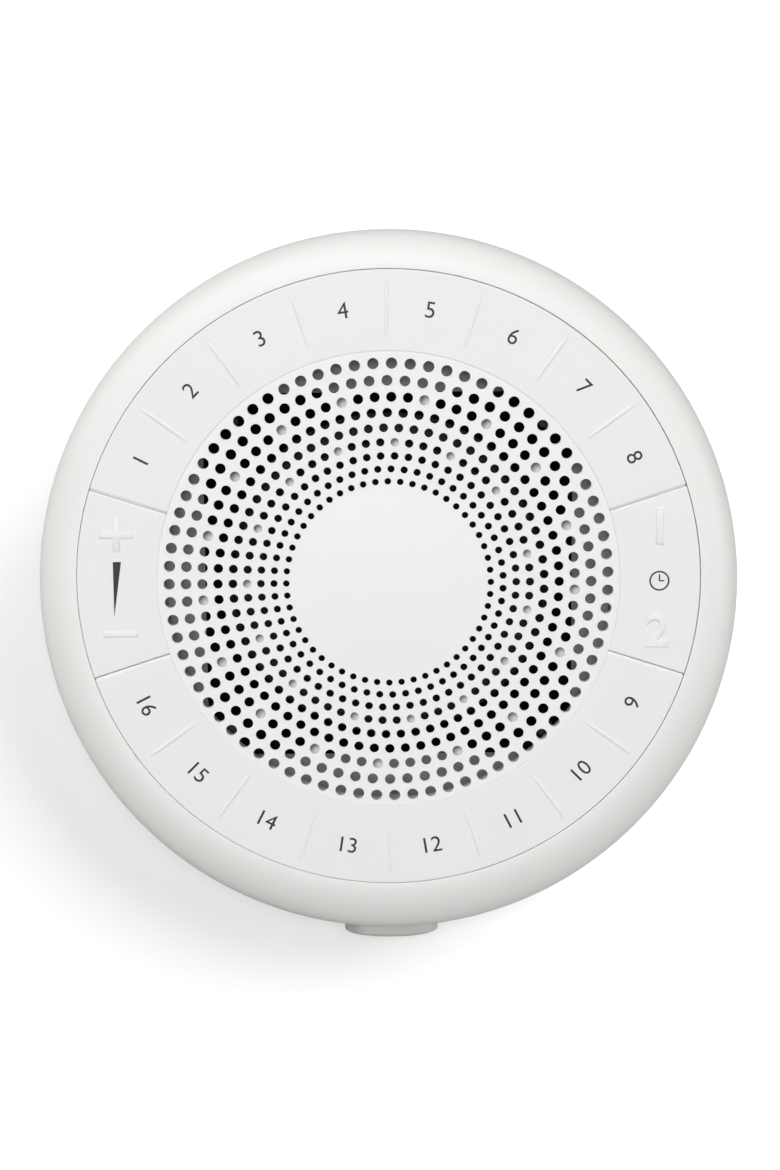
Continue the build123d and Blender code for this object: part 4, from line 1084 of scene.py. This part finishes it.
# ---------------- screws seen from below
SCREW_SEAT_Z = 4.4
SCREW_HEAD = 2.0
SCREW_HEAD_R = 3.0
SCREW_HEAD_EDGE = 1.0  # radius of the pan head's rounded rim
SCREW_FLAT_R = 1.6
SCREW_R = 1.5
SCREW_TIP_Z = 20.3
RECESS_HALF = 1.45
RECESS_HALF_WIDTH = 0.32
RECESS_TOP = 0.95  # below the head's seat
CASE_SCREW_TURNS = 1.7  # each recess is turned by this times the screw's angle


def case_screws():
    """Pan-head screws with a cross recess, heads down."""
    upright = Matrix()
    head_z = SCREW_SEAT_Z - SCREW_HEAD
    rounded = arc((SCREW_HEAD_R - SCREW_HEAD_EDGE, head_z + SCREW_HEAD_EDGE), SCREW_HEAD_EDGE, 270, 360, 5)
    shank = [(SCREW_HEAD_R, SCREW_SEAT_Z), (SCREW_R, SCREW_SEAT_Z), (SCREW_R, SCREW_TIP_Z)]
    blank = Shape().lathe([(SCREW_FLAT_R, head_z)] + rounded + shank, 40, ends="capped")
    screw = blank.piece("screw_blank", upright, "screw_steel")
    low = (-RECESS_HALF, -RECESS_HALF_WIDTH, head_z - 0.6)
    high = (RECESS_HALF, RECESS_HALF_WIDTH, SCREW_SEAT_Z - RECESS_TOP)
    arms = [Shape().box(low, high, turned(turn)) for turn in (0, 90)]
    cut(screw, *(arm.piece("cross_arm", upright, "screw_steel") for arm in arms))
    points = [v.co.copy() for v in screw.data.vertices]
    faces = [list(p.vertices) for p in screw.data.polygons]
    bpy.data.objects.remove(screw)
    shape = Shape()
    for angle in CORNERS:
        shape.add(points, faces, set_down(CASE_SCREW_CIRCLE_R, angle, angle * CASE_SCREW_TURNS))
    shape.piece("case_screws", HOUSING, "screw_steel", "housing", ["base_screws"])


# ---------------- the pieces
UPPER_START = ROCKER_HALF  # where each strip begins, in degrees from the right
LOWER_START = 180.0 + ROCKER_HALF

housing()
grille()
sound_keys("sound_keys_back", "upper_sound_keys", "upper_keys", UPPER_START)
sound_keys("sound_keys_front", "lower_sound_keys", "lower_keys", LOWER_START)
rocker_key("volume_key_plate", "volume_rocker", "volume_key", 180.0)
rocker_key("timer_key_plate", "timer_rocker", "timer_key", 0.0)
case_screws()
power_button()

printed_numbers("numbers_back", "upper_keys", 1, UPPER_START + STRIP_ARC - ZONE / 2, top_turn=-90)
printed_numbers("numbers_front", "lower_keys", 1 + ZONES, -ROCKER_HALF - ZONE / 2, top_turn=90)
volume_marks()
timer_marks()
volume_sign()
timer_sign()


# ---------------- studio
WHITE = (1.0, 1.0, 1.0)
FLOOR_HALF = 4.0  # metres, as all of the studio
LAMP_DISTANCE = 2.5
AIM_Z = 0.03


def floor():
    """Pale table that reads white to the camera and keeps the object's shadow."""
    finish = Finish("studio_floor")
    finish.set(Base_Color=(0.66, 0.665, 0.63), Roughness=0.9, Specular_IOR_Level=0.0)
    paper = finish.node("ShaderNodeBsdfDiffuse", None, {"Color": WHITE})
    glow = finish.node("ShaderNodeEmission", None, {"Color": WHITE, "Strength": 0.23})
    near = finish.node("ShaderNodeAddShader", None, {0: paper, 1: glow})
    far = finish.node("ShaderNodeEmission", None, {"Color": WHITE, "Strength": 1.0})
    distance = finish.node("ShaderNodeVectorMath", {"operation": "LENGTH"}, {0: finish.place()}, "Value")
    bright = finish.node("ShaderNodeMixShader", None, {0: distance.clamped(0.3, 0.5), 1: near, 2: far})
    seen = finish.node("ShaderNodeLightPath", None, None, "Is Camera Ray")
    plain = Level(finish, finish.shader.outputs[0])
    shown = finish.node("ShaderNodeMixShader", None, {0: seen, 1: plain, 2: bright})
    finish.feed(finish.output.inputs["Surface"], shown)
    mesh = bpy.data.meshes.new("studio_floor")
    corners = [(x * FLOOR_HALF, y * FLOOR_HALF, 0) for x, y in ((-1, -1), (1, -1), (1, 1), (-1, 1))]
    mesh.from_pydata(corners, [], [(0, 1, 2, 3)])
    obj = placed("studio_floor", mesh)
    mesh.materials.append(finish.material)
    return obj


def softbox(name, size, power, azimuth, elevation, thing=None, reach="EXCLUDE"):
    """Square soft light aimed at the object. Azimuth is counted from +X towards +Y.

    With a thing, EXCLUDE lights all but that, and INCLUDE lights only that.
    """
    lamp = bpy.data.lights.new(name, "AREA")
    lamp.shape = "SQUARE"
    lamp.size = size
    lamp.energy = power
    obj = placed(name, lamp)
    a, e = radians(azimuth), radians(elevation)
    toward = Vector((cos(a) * cos(e), sin(a) * cos(e), sin(e)))
    obj.location = toward * LAMP_DISTANCE + Vector((0, 0, AIM_Z))
    obj.rotation_mode = "QUATERNION"
    obj.rotation_quaternion = toward.to_track_quat("Z", "Y")
    if thing:
        lit = bpy.data.collections.new(name + "_lit")
        lit.objects.link(thing)
        lit.collection_objects[0].light_linking.link_state = reach
        obj.light_linking.receiver_collection = lit


def sky(level):
    """Faint even light all round, and plain white where the camera sees past the floor."""
    world = bpy.data.worlds.new("studio")
    bpy.context.scene.world = world
    world.use_nodes = True
    nodes = Nodes(world.node_tree)
    back = world.node_tree.nodes["Background"]
    nodes.feed(back.inputs["Color"], WHITE)
    nodes.feed(back.inputs["Strength"], level)
    plain = nodes.node("ShaderNodeBackground", None, {"Color": WHITE, "Strength": 1.0})
    seen = nodes.node("ShaderNodeLightPath", None, None, "Is Camera Ray")
    shown = nodes.node("ShaderNodeMixShader", None, {0: seen, 1: Level(nodes, back.outputs[0]), 2: plain})
    nodes.feed(world.node_tree.nodes["World Output"].inputs["Surface"], shown)


def camera(place, turn, focal_length):
    """Camera that looks straight down, turned about its own axis."""
    lens = bpy.data.cameras.new("camera")
    lens.sensor_width = 36.0
    lens.lens = focal_length
    lens.clip_start = 0.05
    obj = placed("camera", lens)
    obj.location = place
    obj.rotation_euler = (0.0, 0.0, radians(turn))
    bpy.context.scene.camera = obj


table = floor()
sky(0.06)
softbox("overhead_softbox", size=0.7, power=29.0, azimuth=90, elevation=88)
softbox("shadow_softbox", size=1.0, power=25.0, azimuth=41, elevation=58, thing=table, reach="INCLUDE")
softbox("key_softbox", size=1.0, power=19.5, azimuth=128, elevation=58, thing=table)
softbox("right_fill", size=1.3, power=19.5, azimuth=-6, elevation=28, thing=table)
softbox("left_fill", size=1.3, power=15.0, azimuth=152, elevation=28, thing=table)
camera(place=(0.00029, 0.00184, 0.5490), turn=-0.44, focal_length=73.05)
bpy.context.scene.view_settings.view_transform = "Standard"
